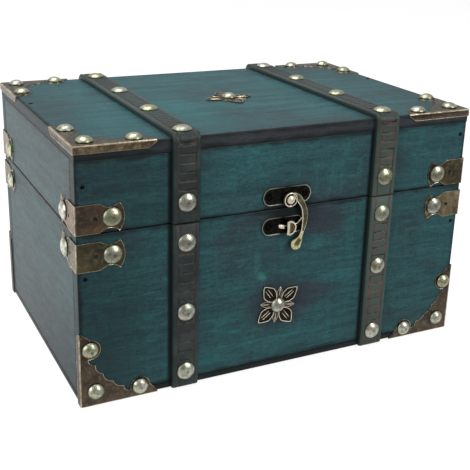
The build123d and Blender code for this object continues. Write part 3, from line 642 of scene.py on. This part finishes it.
def turned(bm, outline, steps, closed=False):
    """Spin an outline, given by distances from the axis and heights."""
    verts = [bm.verts.new((x, 0, z)) for x, z in outline]
    edges = [bm.edges.new(pair) for pair in zip(verts, verts[1:])]
    if closed:
        edges.append(bm.edges.new((verts[-1], verts[0])))
    turn = {"cent": (0, 0, 0), "axis": (0, 0, 1), "angle": 2 * math.pi, "use_merge": True}
    bmesh.ops.spin(bm, geom=verts + edges, steps=steps, **turn)


# Worn brackets, wraps and hinge leaves

sheet_field, edge_highlight_band, sheet_hole, front_lip, shaded_side_lip, shaded_fold = range(6)
square, steep = 0.999, 0.1


def stands_out(face, axis, sign):
    """Whether a face looks outwards along an axis, outside the wooden box."""
    at = face.calc_center_median()[axis]
    outside = at > wood_high[axis] + proud if sign > 0 else at < wood_low[axis] - proud
    return outside and face.normal[axis] * sign > square


def small_loops(edges):
    """Centres of the closed loops of edges that are holes."""
    found = []
    for loop in groups(edges, lambda edge: [e for v in edge.verts for e in v.link_edges]):
        points = [vert.co for vert in {vert for edge in loop for vert in edge.verts}]
        centre = sum(points, Vector()) / len(points)
        if max((point - centre).length for point in points) < hole_reach:
            found.append(centre)
    return found


def wear_face(bm, axis, sign):
    """Ease and rub the free edges of the faces that look one way, painted bright as a highlight
    except on faces that look up, and darken their holes.
    """
    plate = [f for f in bm.faces if stands_out(f, axis, sign)]
    if not plate:
        return
    inside = set(plate)
    rims = [e for e in bm.edges if len(set(e.link_faces) & inside) == 1]
    holes = small_loops(rims)
    walls = set()
    folds = set()
    for edge in rims:
        for face in set(edge.link_faces) - inside:
            group = walls if abs(face.normal[axis]) < steep else folds
            group.update(face.verts)
    inset = {"thickness": edge_highlight_width, "depth": 0, "use_even_offset": True}
    band = bmesh.ops.inset_region(bm, faces=plate, **inset)["faces"]
    for face in band:
        middle = face.calc_center_median()
        if any((middle - hole).length < hole_ring for hole in holes):
            face.material_index = sheet_hole
            continue
        if axis == 2 or any(len(set(e.verts) & folds) == 2 for e in face.edges):
            continue
        face.material_index = edge_highlight_band
        for vert in face.verts:
            outer = vert in walls and vert not in folds and len(vert.link_faces) > 2
            slopes = [abs(f.normal[axis]) for f in vert.link_faces]
            if outer and all(slope < steep or slope > 1 - steep for slope in slopes):
                vert.tag = True
    for vert in bm.verts:
        if vert.tag:
            vert.co[axis] -= sign * edge_drop
            vert.tag = False


def worn_sheet(node, body, material):
    """Copy of a sheet-metal node with eased edges and folds, rubbed bright with a painted
    highlight.
    """
    bm = merged_copy(node)
    # Folds and other slanting faces take the worn edge metal, rubbed metal with a painted highlight
    for face in bm.faces:
        if max(abs(n) for n in face.normal) < square:
            face.material_index = edge_highlight_band
    for axis in range(3):
        for sign in (-1, 1):
            wear_face(bm, axis, sign)
    if "lid_corner" in node:
        foot = min(vert.co.z for vert in bm.verts)
        for vert in bm.verts:
            if vert.co.z < lip_start:
                vert.co.z += lip_trim * (lip_start - vert.co.z) / (lip_start - foot)
        # Lips facing front take the lip metal; lips facing sideways take the darker brown, as
        # painted shade
        for face in bm.faces:
            if face.material_index == sheet_field and abs(face.normal.z) < 0.5:
                face.material_index = front_lip if abs(face.normal.y) > 0.5 else shaded_side_lip
    # Painted shade: the sideways faces of the back base brackets take the dark petal-field metal
    if "base_corner_back" in node:
        for face in bm.faces:
            if abs(face.normal.x) > 1 - steep:
                face.material_index = shaded_fold
    lip = bronze_brown if node == "lid_corner_front_right" else bronze_golden
    metals = [material, edge_highlight_bronze, steel_dark, lip, bronze_brown, petal_field]
    place_piece(node + "_plate", bm, metals, body, [node])


patina = {
    ("lid", "corner"): bronze_brown,
    ("lid", "wrap"): bronze_sheet,
    ("base", "corner"): bronze_brown,
    ("base", "wrap"): bronze_olive,
    "lid_wrap_front_right": bronze_olive,
    "base_wrap_front_right": bronze_golden,
}
for node in sorted(cad):
    if ("_corner_" in node or "_wrap_" in node) and not node.endswith("studs"):
        body, kind = node.split("_")[:2]
        worn_sheet(node, body, patina.get(node, patina[body, kind]))
    elif "_leaf_" in node:
        worn_sheet(node, node.split("_")[1], hinge_bronze)

# Domed studs


def rim_shade_and_dimple(radius, height):
    """How dark a stud is at a place: painted shade at its rim, and darker in the dimple."""
    outer = max(0.0, (radius / outline_radius - rim_shade_start) / (1 - rim_shade_start))
    dimple = max(0.0, 1 - radius / dimple_radius) * dimple_share if height > 1 else 0.0
    return min(1.0, outer**1.5 + dimple)


def stud_shape(radius, height):
    """Stud standing on the XY plane: rolled rim, shallow dome and a small dimple on top."""
    bm = bmesh.new()
    share = bm.verts.layers.float.new("rim")
    turned(bm, stud_outline, 28)
    weld(bm)
    for vert in bm.verts:
        vert[share] = rim_shade_and_dimple(vert.co.xy.length, vert.co.z)
    across = radius / outline_radius
    bmesh.ops.scale(bm, vec=(across, across, height / outline_height), verts=bm.verts)
    return bm


def stud_group(node, radius, height, rise, metal, slot):
    """Studs of a CAD node, each where its solid stands; rise is that of the solid's head."""
    whole = bmesh.new()
    whole.verts.layers.float.new("rim")
    for low, high in islands(node):
        reach = {}
        for axis in range(3):
            reach[axis, 1] = high[axis] - wood_high[axis]
            reach[axis, -1] = wood_low[axis] - low[axis]
        axis, sign = max(reach, key=reach.get)
        outward = Vector((0, 0, 0))
        outward[axis] = sign
        seat = (low + high) / 2
        seat[axis] = (high if sign > 0 else low)[axis] - sign * rise
        join(whole, stud_shape(radius, height), face_matrix(seat, outward))
    place_piece(node + "_domes", whole, [metal], node.split("_")[0], [node], 60.0)


for node in sorted(cad):
    if node.endswith(("strap_studs", "wrap_studs")):
        stud_group(node, *large_stud, brass, "stud_brass")
    elif node.endswith(("corner_studs", "rosette_stud")):
        stud_group(node, *small_stud, brass, "stud_brass")
    elif node.endswith("panel_nails"):
        stud_group(node, *nail, nail_steel, "nail_steel")

# Straps

plain, rail, between = range(3)


def strap_path(runs, distance, out):
    """Point of a strap in the YZ plane, at a distance along its back and a height off it. Bends
    join its runs, each a start, a heading and a length."""
    for run in runs:
        start, heading, length = run
        side = Vector((-heading.y, heading.x))
        if distance <= length or run is runs[-1]:
            break
        distance -= length
        if distance <= strap_arc:
            angle = distance / strap_bend
            centre = start + heading * length - side * strap_bend
            arm = Matrix.Rotation(-angle, 2) @ (side * (strap_bend + out))
            return centre + arm
        distance -= strap_arc
    return start + heading * distance + side * out


def ladder_rungs(stud_marks, level):
    """Place, half width and depth of each rung between a strap's studs; level is the stretch on
    the lid's top."""
    rungs = []
    for start, stop in zip(stud_marks, stud_marks[1:]):
        room = stop - start - 2 * stud_clear
        flat = level and level[0] < start and stop < level[1]
        pitch, half, depth = top_rung if flat else front_rung
        count = max(2, round(room / pitch) + 1)
        for i in range(count):
            rungs.append((start + stud_clear + room * i / (count - 1), half, depth))
    return rungs


def strap(node, offset, runs, total, stud_marks, level, rounded):
    """Strap with bevelled sides, a border line along each and rungs between its studs."""
    across = [
        (-strap_half, 0.0, plain), (-strap_half, strap_waist, plain),
        (-strap_half, strap_thick - strap_bevel, plain),
        (-strap_half + bevel_in, strap_thick - bevel_down, plain),
        (-strap_half + strap_bevel, strap_thick, plain),
        (-ladder_half - rail_wall, strap_thick, plain),
        (-ladder_half, strap_thick - rail_depth, rail),
        (-ladder_half + rail_wall, strap_thick, between),
        (-rung_rows[0], strap_thick, between), (-rung_rows[1], strap_thick, between),
    ]
    across = across + [(-x, height, kind) for x, height, kind in reversed(across)]
    rungs = ladder_rungs(stud_marks, level)
    cuts = {0.0, total, *foot_cuts}
    for off in end_cuts:
        cuts |= {off, total - off}
    for place, half, depth in rungs:
        for off in (half, half + rung_wall, half + 2 * rung_wall):
            cuts |= {place - off, place + off}
    for start in level:
        cuts |= {start - strap_arc * i / 6 for i in range(-3, 4)}
    cuts = sorted(cut for cut in cuts if 0 <= cut <= total)
    cuts = [cut for i, cut in enumerate(cuts) if i == 0 or cut - cuts[i - 1] > least_cut]
    bm = bmesh.new()
    line = bm.verts.layers.float.new("line")
    side = bm.verts.layers.float.new("side")
    for vert, i, j in tube_grid(bm, len(cuts) - 1, len(across)):
        distance = cuts[i]
        x, height, kind = across[j]
        if kind == rail:
            vert[line] = 1.0
        if height <= strap_thick - strap_bevel:
            vert[side] = side_share
        grooves = [rung for rung in rungs if abs(distance - rung[0]) < rung[1] + rung_slack]
        if kind == between and grooves:
            height -= grooves[0][2]
            vert[line] = 1.0
        if height > crease_above and any(abs(distance - bend) < crease_half for bend in level):
            height -= rail_depth
        if height > 0:
            ease = min(distance, total - distance)
            if rounded and distance < foot_round:
                rise = math.sqrt(foot_round**2 - (foot_round - distance) ** 2)
                height *= 1 - (foot_round - rise) / strap_thick
            elif ease < end_round:
                height -= end_drop * (1 - ease / end_round) ** 2 * height / strap_thick
        at = strap_path(runs, distance, height)
        vert.co = Vector((offset + x, at.x, at.y))
    close_tube(bm)
    body = node.split("_")[0]
    place_piece(node + "_leather", bm, [leather], body, [node], 50.0)


def stud_heights(node, offset, side):
    """Heights above the origin of a node's studs on one strap."""
    return sorted(
        (low.z + high.z) / 2
        for low, high in islands(node)
        if abs((low.x + high.x) / 2 - offset) < strap_half
        and (high.y if side > 0 else -low.y) - half_depth > strap_thick
        and high.z < wood_top
    )


up = Vector((0, 1))
rear = Vector((1, 0))
for side_name in ("left", "right"):
    node = "lid_strap_" + side_name
    low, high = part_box(node)
    offset = (low.x + high.x) / 2 / MM
    foot = seam + seam_gap
    back_foot = seam + strap_back_gap
    front_run = wood_top - strap_bend - foot
    top_run = 2 * (half_depth - strap_bend)
    back_run = wood_top - strap_bend - back_foot
    runs = [
        (Vector((-half_depth, foot)), up, front_run),
        (Vector((-half_depth + strap_bend, wood_top)), rear, top_run),
        (Vector((half_depth, wood_top - strap_bend)), -up, back_run),
    ]
    total = front_run + strap_arc + top_run + strap_arc + back_run
    front_stud = stud_heights("lid_strap_studs", offset, -1)[0] - foot
    back_stud = total - (stud_heights("lid_strap_studs", offset, 1)[0] - back_foot)
    top_studs = sorted(
        (a.y + b.y) / 2 + half_depth - strap_bend + front_run + strap_arc
        for a, b in islands("lid_strap_studs")
        if b.z > wood_top + strap_thick and abs((a.x + b.x) / 2 - offset) < strap_half
    )
    marks = [front_stud, front_run - bend_clear + stud_clear] + top_studs
    marks += [total - back_run + bend_clear - stud_clear, back_stud]
    level = (front_run + strap_arc / 2, front_run + strap_arc * 1.5 + top_run)
    strap(node, offset, runs, total, marks, level, False)
    for face_name, side in (("front", -1), ("back", 1)):
        node = f"base_strap_{face_name}_{side_name}"
        low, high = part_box(node)
        length = (high.z - low.z) / MM
        runs = [(Vector((side * half_depth, floor_lift)), up, length)]
        marks = [h - floor_lift for h in stud_heights("base_strap_studs", offset, side)]
        if side > 0:
            runs = [(Vector((half_depth, high.z / MM)), -up, length)]
            marks = [length - h for h in reversed(marks)]
        strap(node, offset, runs, length, marks, (), side < 0)

# Rosettes

petal_metal, rim_metal, leaf_metal = range(3)


def petal_width(x):
    """Half width of a petal from 0 to 1, at a place from -1 at its root to 1 at its tip."""
    shoulder, slope = 0.12, 0.72
    if x < shoulder:
        return math.sqrt(max(0.0, 1 - ((shoulder - x) / (1 + shoulder)) ** 2))
    return ((1 - x) / (1 - shoulder)) ** slope if x < 1 else 0.0


def leaf(shape, metal):
    """Pointed hollow leaf along +X, with a raised rim round its field."""
    start, reach, half, height, rim, sink = shape
    bm = disc(36)
    length = (reach - start) / 2
    for vert in bm.verts:
        x, y = vert.co.x, vert.co.y
        side = 0 if abs(y) < 1e-5 else math.copysign(1, y)
        vert.co = (start + length * (1 + x), side * half * petal_width(x), 0)
    raised(bm, height)
    cap = top_face(bm)
    paint(bm.faces, metal)
    paint(inset(bm, cap, rim), rim_metal)
    inset(bm, cap, rim / 2, sink)
    return bm


def rib(shape):
    """Slim raised rib along +X, pointed at both ends."""
    start, reach, half, height, base = shape
    bm = disc(16)
    bmesh.ops.scale(bm, vec=((reach - start) / 2, half, 1), verts=bm.verts)
    bmesh.ops.translate(bm, vec=((reach + start) / 2, 0, base), verts=bm.verts)
    top = raised(bm, height)
    middle = sum((v.co for v in top), Vector()) / len(top)
    for vert in top:
        vert.co = middle + (vert.co - middle) * rib_taper
    paint(bm.faces, rim_metal)
    return bm


def rosette(node, body, outward, turn, metals):
    """Rosette of four broad hollow petals and four slim leaves round a heart."""
    low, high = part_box(node)
    whole = bmesh.new()
    for i in range(4):
        spin = Matrix.Rotation(math.radians(turn + 45 + 90 * i), 4, "Z")
        join(whole, leaf(petal_shape, petal_metal), spin)
        for side in (-1, 1):
            lay = Matrix.Translation((0, side * rib_offset, 0))
            join(whole, rib(petal_rib), spin @ lay)
        spin = Matrix.Rotation(math.radians(turn + 90 * i), 4, "Z")
        join(whole, leaf(leaf_shape, leaf_metal), spin)
        join(whole, rib(leaf_rib), spin)
    heart = bmesh.new()
    round_disc = {"radius1": heart_radius, "radius2": heart_top_radius, "depth": heart_height}
    bmesh.ops.create_cone(heart, cap_ends=True, segments=32, **round_disc)
    join(whole, heart, Matrix.Translation((0, 0, heart_height / 2)))
    centre = (low + high) / 2 / MM
    for axis in range(3):
        if outward[axis]:
            centre[axis] = (low if outward[axis] > 0 else high)[axis] / MM
    move(whole, face_matrix(centre, outward))
    place_piece(node + "_petals", whole, metals, body, [node])


# Petal rims and ribs take rubbed metal whose pale colour is partly a painted highlight
rosette("base_rosette", "base", (0, -1, 0), -8.5, [petal_field, rubbed_rim_highlight, leaf_brass])
rosette("lid_rosette", "lid", (0, 0, 1), 49.0, [leaf_brass, edge_highlight_bronze, leaf_brass])

# Latch plates


def place_on_front(bm, x, z, materials, body, node, sharp=35.0):
    """Place a node's piece, made lying on the XY plane, against the front."""
    move(bm, face_matrix(Vector((x, -half_depth, z)), (0, -1, 0)))
    place_piece(node + "_rimmed", bm, materials, body, [node], sharp)


def stadium(node):
    """Round-ended plate of a node's length on the XY plane, with a rim, brightest at both ends,
    and a sunk field. Also the node's middle, across and upwards."""
    low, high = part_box(node)
    half = (high.x - low.x) / 2 / MM
    bm = disc(56, plate_radius)
    worn = bm.verts.layers.float.new("worn")
    for vert in bm.verts:
        if abs(vert.co.x) > 0.01:
            vert.co.x += math.copysign(half - plate_radius, vert.co.x)
    raised(bm, plate_thick)
    cap = top_face(bm)
    inset(bm, cap, plate_rim)
    inset(bm, cap, plate_step, plate_sink)
    for vert in bm.verts:
        lobe = (abs(vert.co.x) - lobe_share * half) / (lobe_share * half)
        on_rim = vert.co.z > plate_thick - 0.05
        vert[worn] = min(1.0, max(least_worn, lobe)) if on_rim else 0.0
    return bm, (low.x + high.x) / 2 / MM, (low.z + high.z) / 2 / MM


plate, plate_x, plate_z = stadium("latch_plate")
place_on_front(plate, plate_x, plate_z, [plate_bronze], "lid", "latch_plate")

# Keeper: its plate, and a loop with one flat, slightly hollow side

keeper, keeper_x, keeper_z = stadium("latch_keeper")
loop = disc(48)
loop_reach = loop_half_width / loop_round
for vert in loop.verts:
    x = vert.co.x * loop_reach + loop_half_width - loop_reach
    y = vert.co.y * loop_half_height
    if x < -loop_half_width:
        x = -loop_half_width + loop_dent * (1 - (y / loop_half_height) ** 2)
    vert.co = (x, y, loop_top - loop_wall)
for i in range(4):
    corners = [v for v in loop.verts if v.co.x < loop_corner[0] and abs(v.co.y) > loop_corner[1]]
    bmesh.ops.smooth_vert(loop, verts=corners, factor=0.5, use_axis_x=True, use_axis_y=True)
raised(loop, loop_wall)
cap = top_face(loop)
paint(inset(loop, cap, loop_rim), 1)
bmesh.ops.translate(loop, vec=(loop_rim_shift, 0, 0), verts=cap.verts)
inset(loop, cap, loop_step, loop_sink)
cap.material_index = 2
rise = pivot_height - hook_reach - keeper_z
shift = Matrix.Translation((loop_shift - keeper_x, rise, 0))
join(keeper, loop, shift)
leg_foot = plate_thick - plate_sink
leg_top = loop_top - leg_below
for side in (-1, 1):
    leg = bmesh.new()
    bmesh.ops.create_cube(leg, size=1.0)
    bmesh.ops.scale(leg, vec=(*leg_size, leg_top - leg_foot), verts=leg.verts)
    rounding = {"segments": 2, "profile": 0.5, "affect": "EDGES", "material": -1}
    bmesh.ops.bevel(leg, geom=leg.edges[:], offset=leg_bevel, **rounding)
    lay = Matrix.Translation((leg_place[0], side * leg_place[1], (leg_top + leg_foot) / 2))
    join(keeper, leg, shift @ lay)
metals = [plate_bronze, rubbed_rim_highlight, loop_field]
place_on_front(keeper, keeper_x, keeper_z, metals, "base", "latch_keeper")

# Latch hook: a ring, an arm that ends in a teardrop, and a tongue

arm_side, arm_rim, arm_hollow, dark, tail_rim, tail_hollow = range(6)


def eased(places, steps):
    """Stations along a smooth curve through places, each an x, a y and a half width."""
    found = []
    last = len(places) - 1
    for i in range(last):
        a, b, c, d = [Vector(places[min(max(k, 0), last)]) for k in range(i - 1, i + 3)]
        for k in range(steps):
            t = k / steps
            bend = (2 * a - 5 * b + 4 * c - d) * t**2 + (3 * b - a - 3 * c + d) * t**3
            found.append((2 * b + (c - a) * t + bend) / 2)
    found.append(Vector(places[-1]))
    return found


def rounded_off(stations):
    """Stations with a round end added."""
    last = stations[-1]
    heading = (last - stations[-2]).xy.normalized()
    ends = []
    for k in range(1, 9):
        angle = math.radians(90 * k / 8)
        at = last.xy + heading * last.z * math.sin(angle)
        ends.append(Vector((at.x, at.y, max(0.04, last.z * math.cos(angle)))))
    return stations + ends


def swept(stations, section, kinds):
    """Bar with a section along stations, filled at both ends. Each column of its faces has a kind
    of metal."""
    bm = bmesh.new()
    rows = len(stations) - 1
    count = len(kinds)
    grid = tube_grid(bm, rows, count)
    for face in bm.faces:
        face.material_index = kinds[int((face.calc_center_median().y + 1) / 2 * count)]
    for vert, i, j in grid:
        at = stations[i]
        heading = (stations[min(i + 1, rows)] - stations[max(i - 1, 0)]).xy.normalized()
        across, height = section(at.z)[j]
        vert.co = (at.x - heading.y * across, at.y + heading.x * across, height)
    close_tube(bm)
    return bm


def arm_section(half):
    """Section of the arm: a raised rim along each edge and a hollow between them. The left rim is
    twice the right one until the arm widens into its tail."""
    inner = min(0.56 * half, 0.55 + 0.9 * max(0.0, half - 2.1))
    outer = inner * min(1.0, 0.5 + max(0.0, half - 2.2))
    ease = min(0.2, 0.2 * half)
    wall = 0.2 * half
    low = hook_front - min(0.35, 0.3 * half)
    return [
        (-half, hook_back), (-half, hook_front - ease), (-half + ease, hook_front),
        (-half + inner, hook_front), (-half + inner + wall, low), (0.1 * half, low),
        (half - outer - wall, low), (half - outer, hook_front), (half - ease, hook_front),
        (half, hook_front - ease), (half, hook_back),
    ]


def tongue_section(half):
    """Section of the tongue: a bar with rounded edges."""
    top = hook_back + (tongue_top - hook_back) * min(1.0, 0.4 + 0.6 * half / tongue_half)
    left = [
        (-0.7 * half, hook_back), (-half, hook_back + 0.25), (-half, top - 0.45),
        (-0.72 * half, top - 0.12), (-0.3 * half, top),
    ]
    return left + [(-x, z) for x, z in reversed(left)]


arm_kinds = [arm_side] + [arm_rim] * 2 + [arm_hollow] * 4 + [arm_rim] * 2 + [arm_side] * 2
hook = swept(rounded_off(eased(arm_places, 6)), arm_section, arm_kinds)
tail = Vector(arm_places[-1]).xy
aim = (tail - Vector(arm_places[-2]).xy).normalized()
for face in hook.faces:
    past = (face.calc_center_median().xy - tail) @ aim
    solid = past > hollow_end or -neck_far < past < -neck_near
    if solid and face.material_index == arm_hollow:
        face.material_index = arm_rim
        for vert in face.verts:
            vert.co.z = hook_front
for vert in hook.verts:
    past = (vert.co.xy - tail) @ aim
    kinds = sorted(face.material_index for face in vert.link_faces)
    if past > -neck_near - hollow_lead and kinds == [arm_rim] * 3 + [arm_hollow]:
        middle = tail + aim * past
        vert.co.xy = middle + (vert.co.xy - middle) * hollow_pinch
tongue_places = [tongue_root]
for angle in tongue_angles:
    along = Vector((math.cos(math.radians(angle)), math.sin(math.radians(angle)))) * hook_reach
    tongue_places.append((along.x, along.y, tongue_half))
# Painted shadow on the tongue, with one bright line along its upper edge as a painted highlight
tongue_kinds = [dark] * 2 + [arm_rim] + [dark] * 7
tongue_bar = swept(rounded_off(eased(tongue_places, 3)), tongue_section, tongue_kinds)
for face in tongue_bar.faces:
    if face.calc_center_median().x < loop_shift - loop_half_width - tongue_gap:
        face.material_index = arm_rim
join(hook, tongue_bar)
ring = bmesh.new()
ring_outline = [
    (ring_bore, hook_back), (ring_bore, ring_floor), (ring_inner - 0.25, ring_floor),
    (ring_inner, ring_floor + 0.15), (ring_inner + 0.15, hook_front - 0.08),
    (ring_inner + 0.35, hook_front), (ring_outer - 0.3, hook_front),
    (ring_outer, hook_front - 0.25), (ring_outer, hook_back),
]
turned(ring, ring_outline, 44, closed=True)
# The ring's top is rubbed bright; its floor and bore round the rivet are painted dark as shade
for face in ring.faces:
    middle = face.calc_center_median()
    if middle.z > hook_front - 0.3:
        face.material_index = arm_rim
    elif middle.xy.length < ring_inner + 0.1:
        face.material_index = dark
join(hook, ring)
tail_kinds = {arm_rim: tail_rim, arm_hollow: tail_hollow}
for face in hook.faces:
    if face.calc_center_median().y < tail_below:
        face.material_index = tail_kinds.get(face.material_index, face.material_index)
metals = [hook_field, rubbed_rim_highlight, hook_field, plate_bronze, tail_rubbed_highlight, loop_field]
place_on_front(hook, 0, pivot_height, metals, "latch_hook", "latch_hook", 40.0)

rivet = merged_copy("latch_rivet")
pivot = Vector((0, -half_depth, pivot_height))
slim = Matrix.Translation(pivot) @ Matrix.Diagonal((rivet_share, 1, rivet_share, 1))
move(rivet, slim @ Matrix.Translation(-pivot))
place_piece("latch_rivet_head", rivet, [rubbed_rim_highlight], "lid", ["latch_rivet"], 30.0)

# Floor: matt and pale to keep the shadow, lit up for the camera, and in reflections bright behind
# the chest and dim in front of it
floor_material, tree, where = begin("white_sweep")
path = add(tree, "LightPath")
bounced = {0: path["Is Glossy Ray"], 1: path["Is Transmission Ray"]}
mirrored = add(tree, "Math", bounced, operation="MAXIMUM")[0]
direct = add(tree, "Math", {0: path["Is Camera Ray"], 1: 0.7}, operation="MULTIPLY")[0]
share = add(tree, "Math", {0: direct, 1: mirrored}, operation="MAXIMUM")[0]
matt = add(tree, "BsdfDiffuse", {"Color": "#eeeeee"})[0]
back = add(tree, "SeparateXYZ", {0: where})[1]
spread = {"Value": back, "From Min": -0.3, "From Max": 0.15, "To Min": 0.2, "To Max": 1.45}
shaded = add(tree, "MapRange", spread, **smooth)[0]
lit = add(tree, "Mix", {0: mirrored, 2: 1.18, 3: shaded})[0]
glow = add(tree, "Emission", {"Color": "#ffffff", "Strength": lit})[0]
mixed = add(tree, "MixShader", {0: share, 1: matt, 2: glow})[0]
add(tree, "OutputMaterial", {"Surface": mixed})
bm = bmesh.new()
bmesh.ops.create_grid(bm, x_segments=1, y_segments=1, size=6.0)
floor = new_object("floor", bm, [floor_material])

# World: white to the camera, and in reflections brighter behind the chest than in front of it
world = bpy.data.worlds.new("studio")
scene.world = world
world.use_nodes = True
tree = world.node_tree
tree.nodes.clear()
path = add(tree, "LightPath")
facing = add(tree, "TexCoord")["Generated"]
depth = add(tree, "SeparateXYZ", {0: facing})[1]
spread = {"Value": depth, "From Min": -0.6, "From Max": 0.9, "To Min": 0.25, "To Max": 0.6}
room = add(tree, "MapRange", spread)[0]
lit = add(tree, "Mix", {0: path["Is Glossy Ray"], 2: 0.55, 3: room})[0]
strength = add(tree, "Mix", {0: path["Is Camera Ray"], 2: lit, 3: 1.0})[0]
sky = add(tree, "Background", {"Color": "#ffffff", "Strength": strength})[0]
add(tree, "OutputWorld", {"Surface": sky})


def lamp(name, place, size, power):
    """Soft rectangular lamp at a place, in metres, turned to the middle of the chest."""
    data = bpy.data.lights.new(name, "AREA")
    data.shape = "RECTANGLE"
    data.size, data.size_y = size
    data.energy = power
    made = bpy.data.objects.new(name, data)
    made.location = place
    aim = Vector((0, 0, 0.09)) - Vector(place)
    made.rotation_euler = aim.to_track_quat("-Z", "Y").to_euler()
    scene.collection.objects.link(made)


lamp("key_softbox", (0.6, -1.05, 0.8), (0.4, 1.1), 10.0)
lamp("overhead_softbox", (-0.2, 0.2, 1.4), (1.2, 1.0), 10.0)
lamp("left_softbox", (-1.2, -0.3, 0.6), (0.9, 0.9), 8.0)

# Camera, solved from the corners of the box, in pixels of the frame
frame_pixels = 470
lens_pixels = 881.32
shift_pixels = -35
eye = Vector((-265.04, -547.69, 296.04)) * MM
right = Vector((0.898451, -0.438242, 0.027010))
down = Vector((-0.119507, -0.303271, -0.945381))
forward = Vector((0.422497, 0.846151, -0.324847))
view = bpy.data.cameras.new("view")
view.sensor_width = 36.0
view.lens = lens_pixels / frame_pixels * view.sensor_width
view.shift_y = shift_pixels / frame_pixels
view.clip_start = 0.01
view.clip_end = 20.0
camera = bpy.data.objects.new("view", view)
turn = Matrix((right, -down, -forward)).transposed().to_4x4()
camera.matrix_world = Matrix.Translation(eye) @ turn
scene.collection.objects.link(camera)
scene.camera = camera
scene.view_settings.view_transform = "Standard"
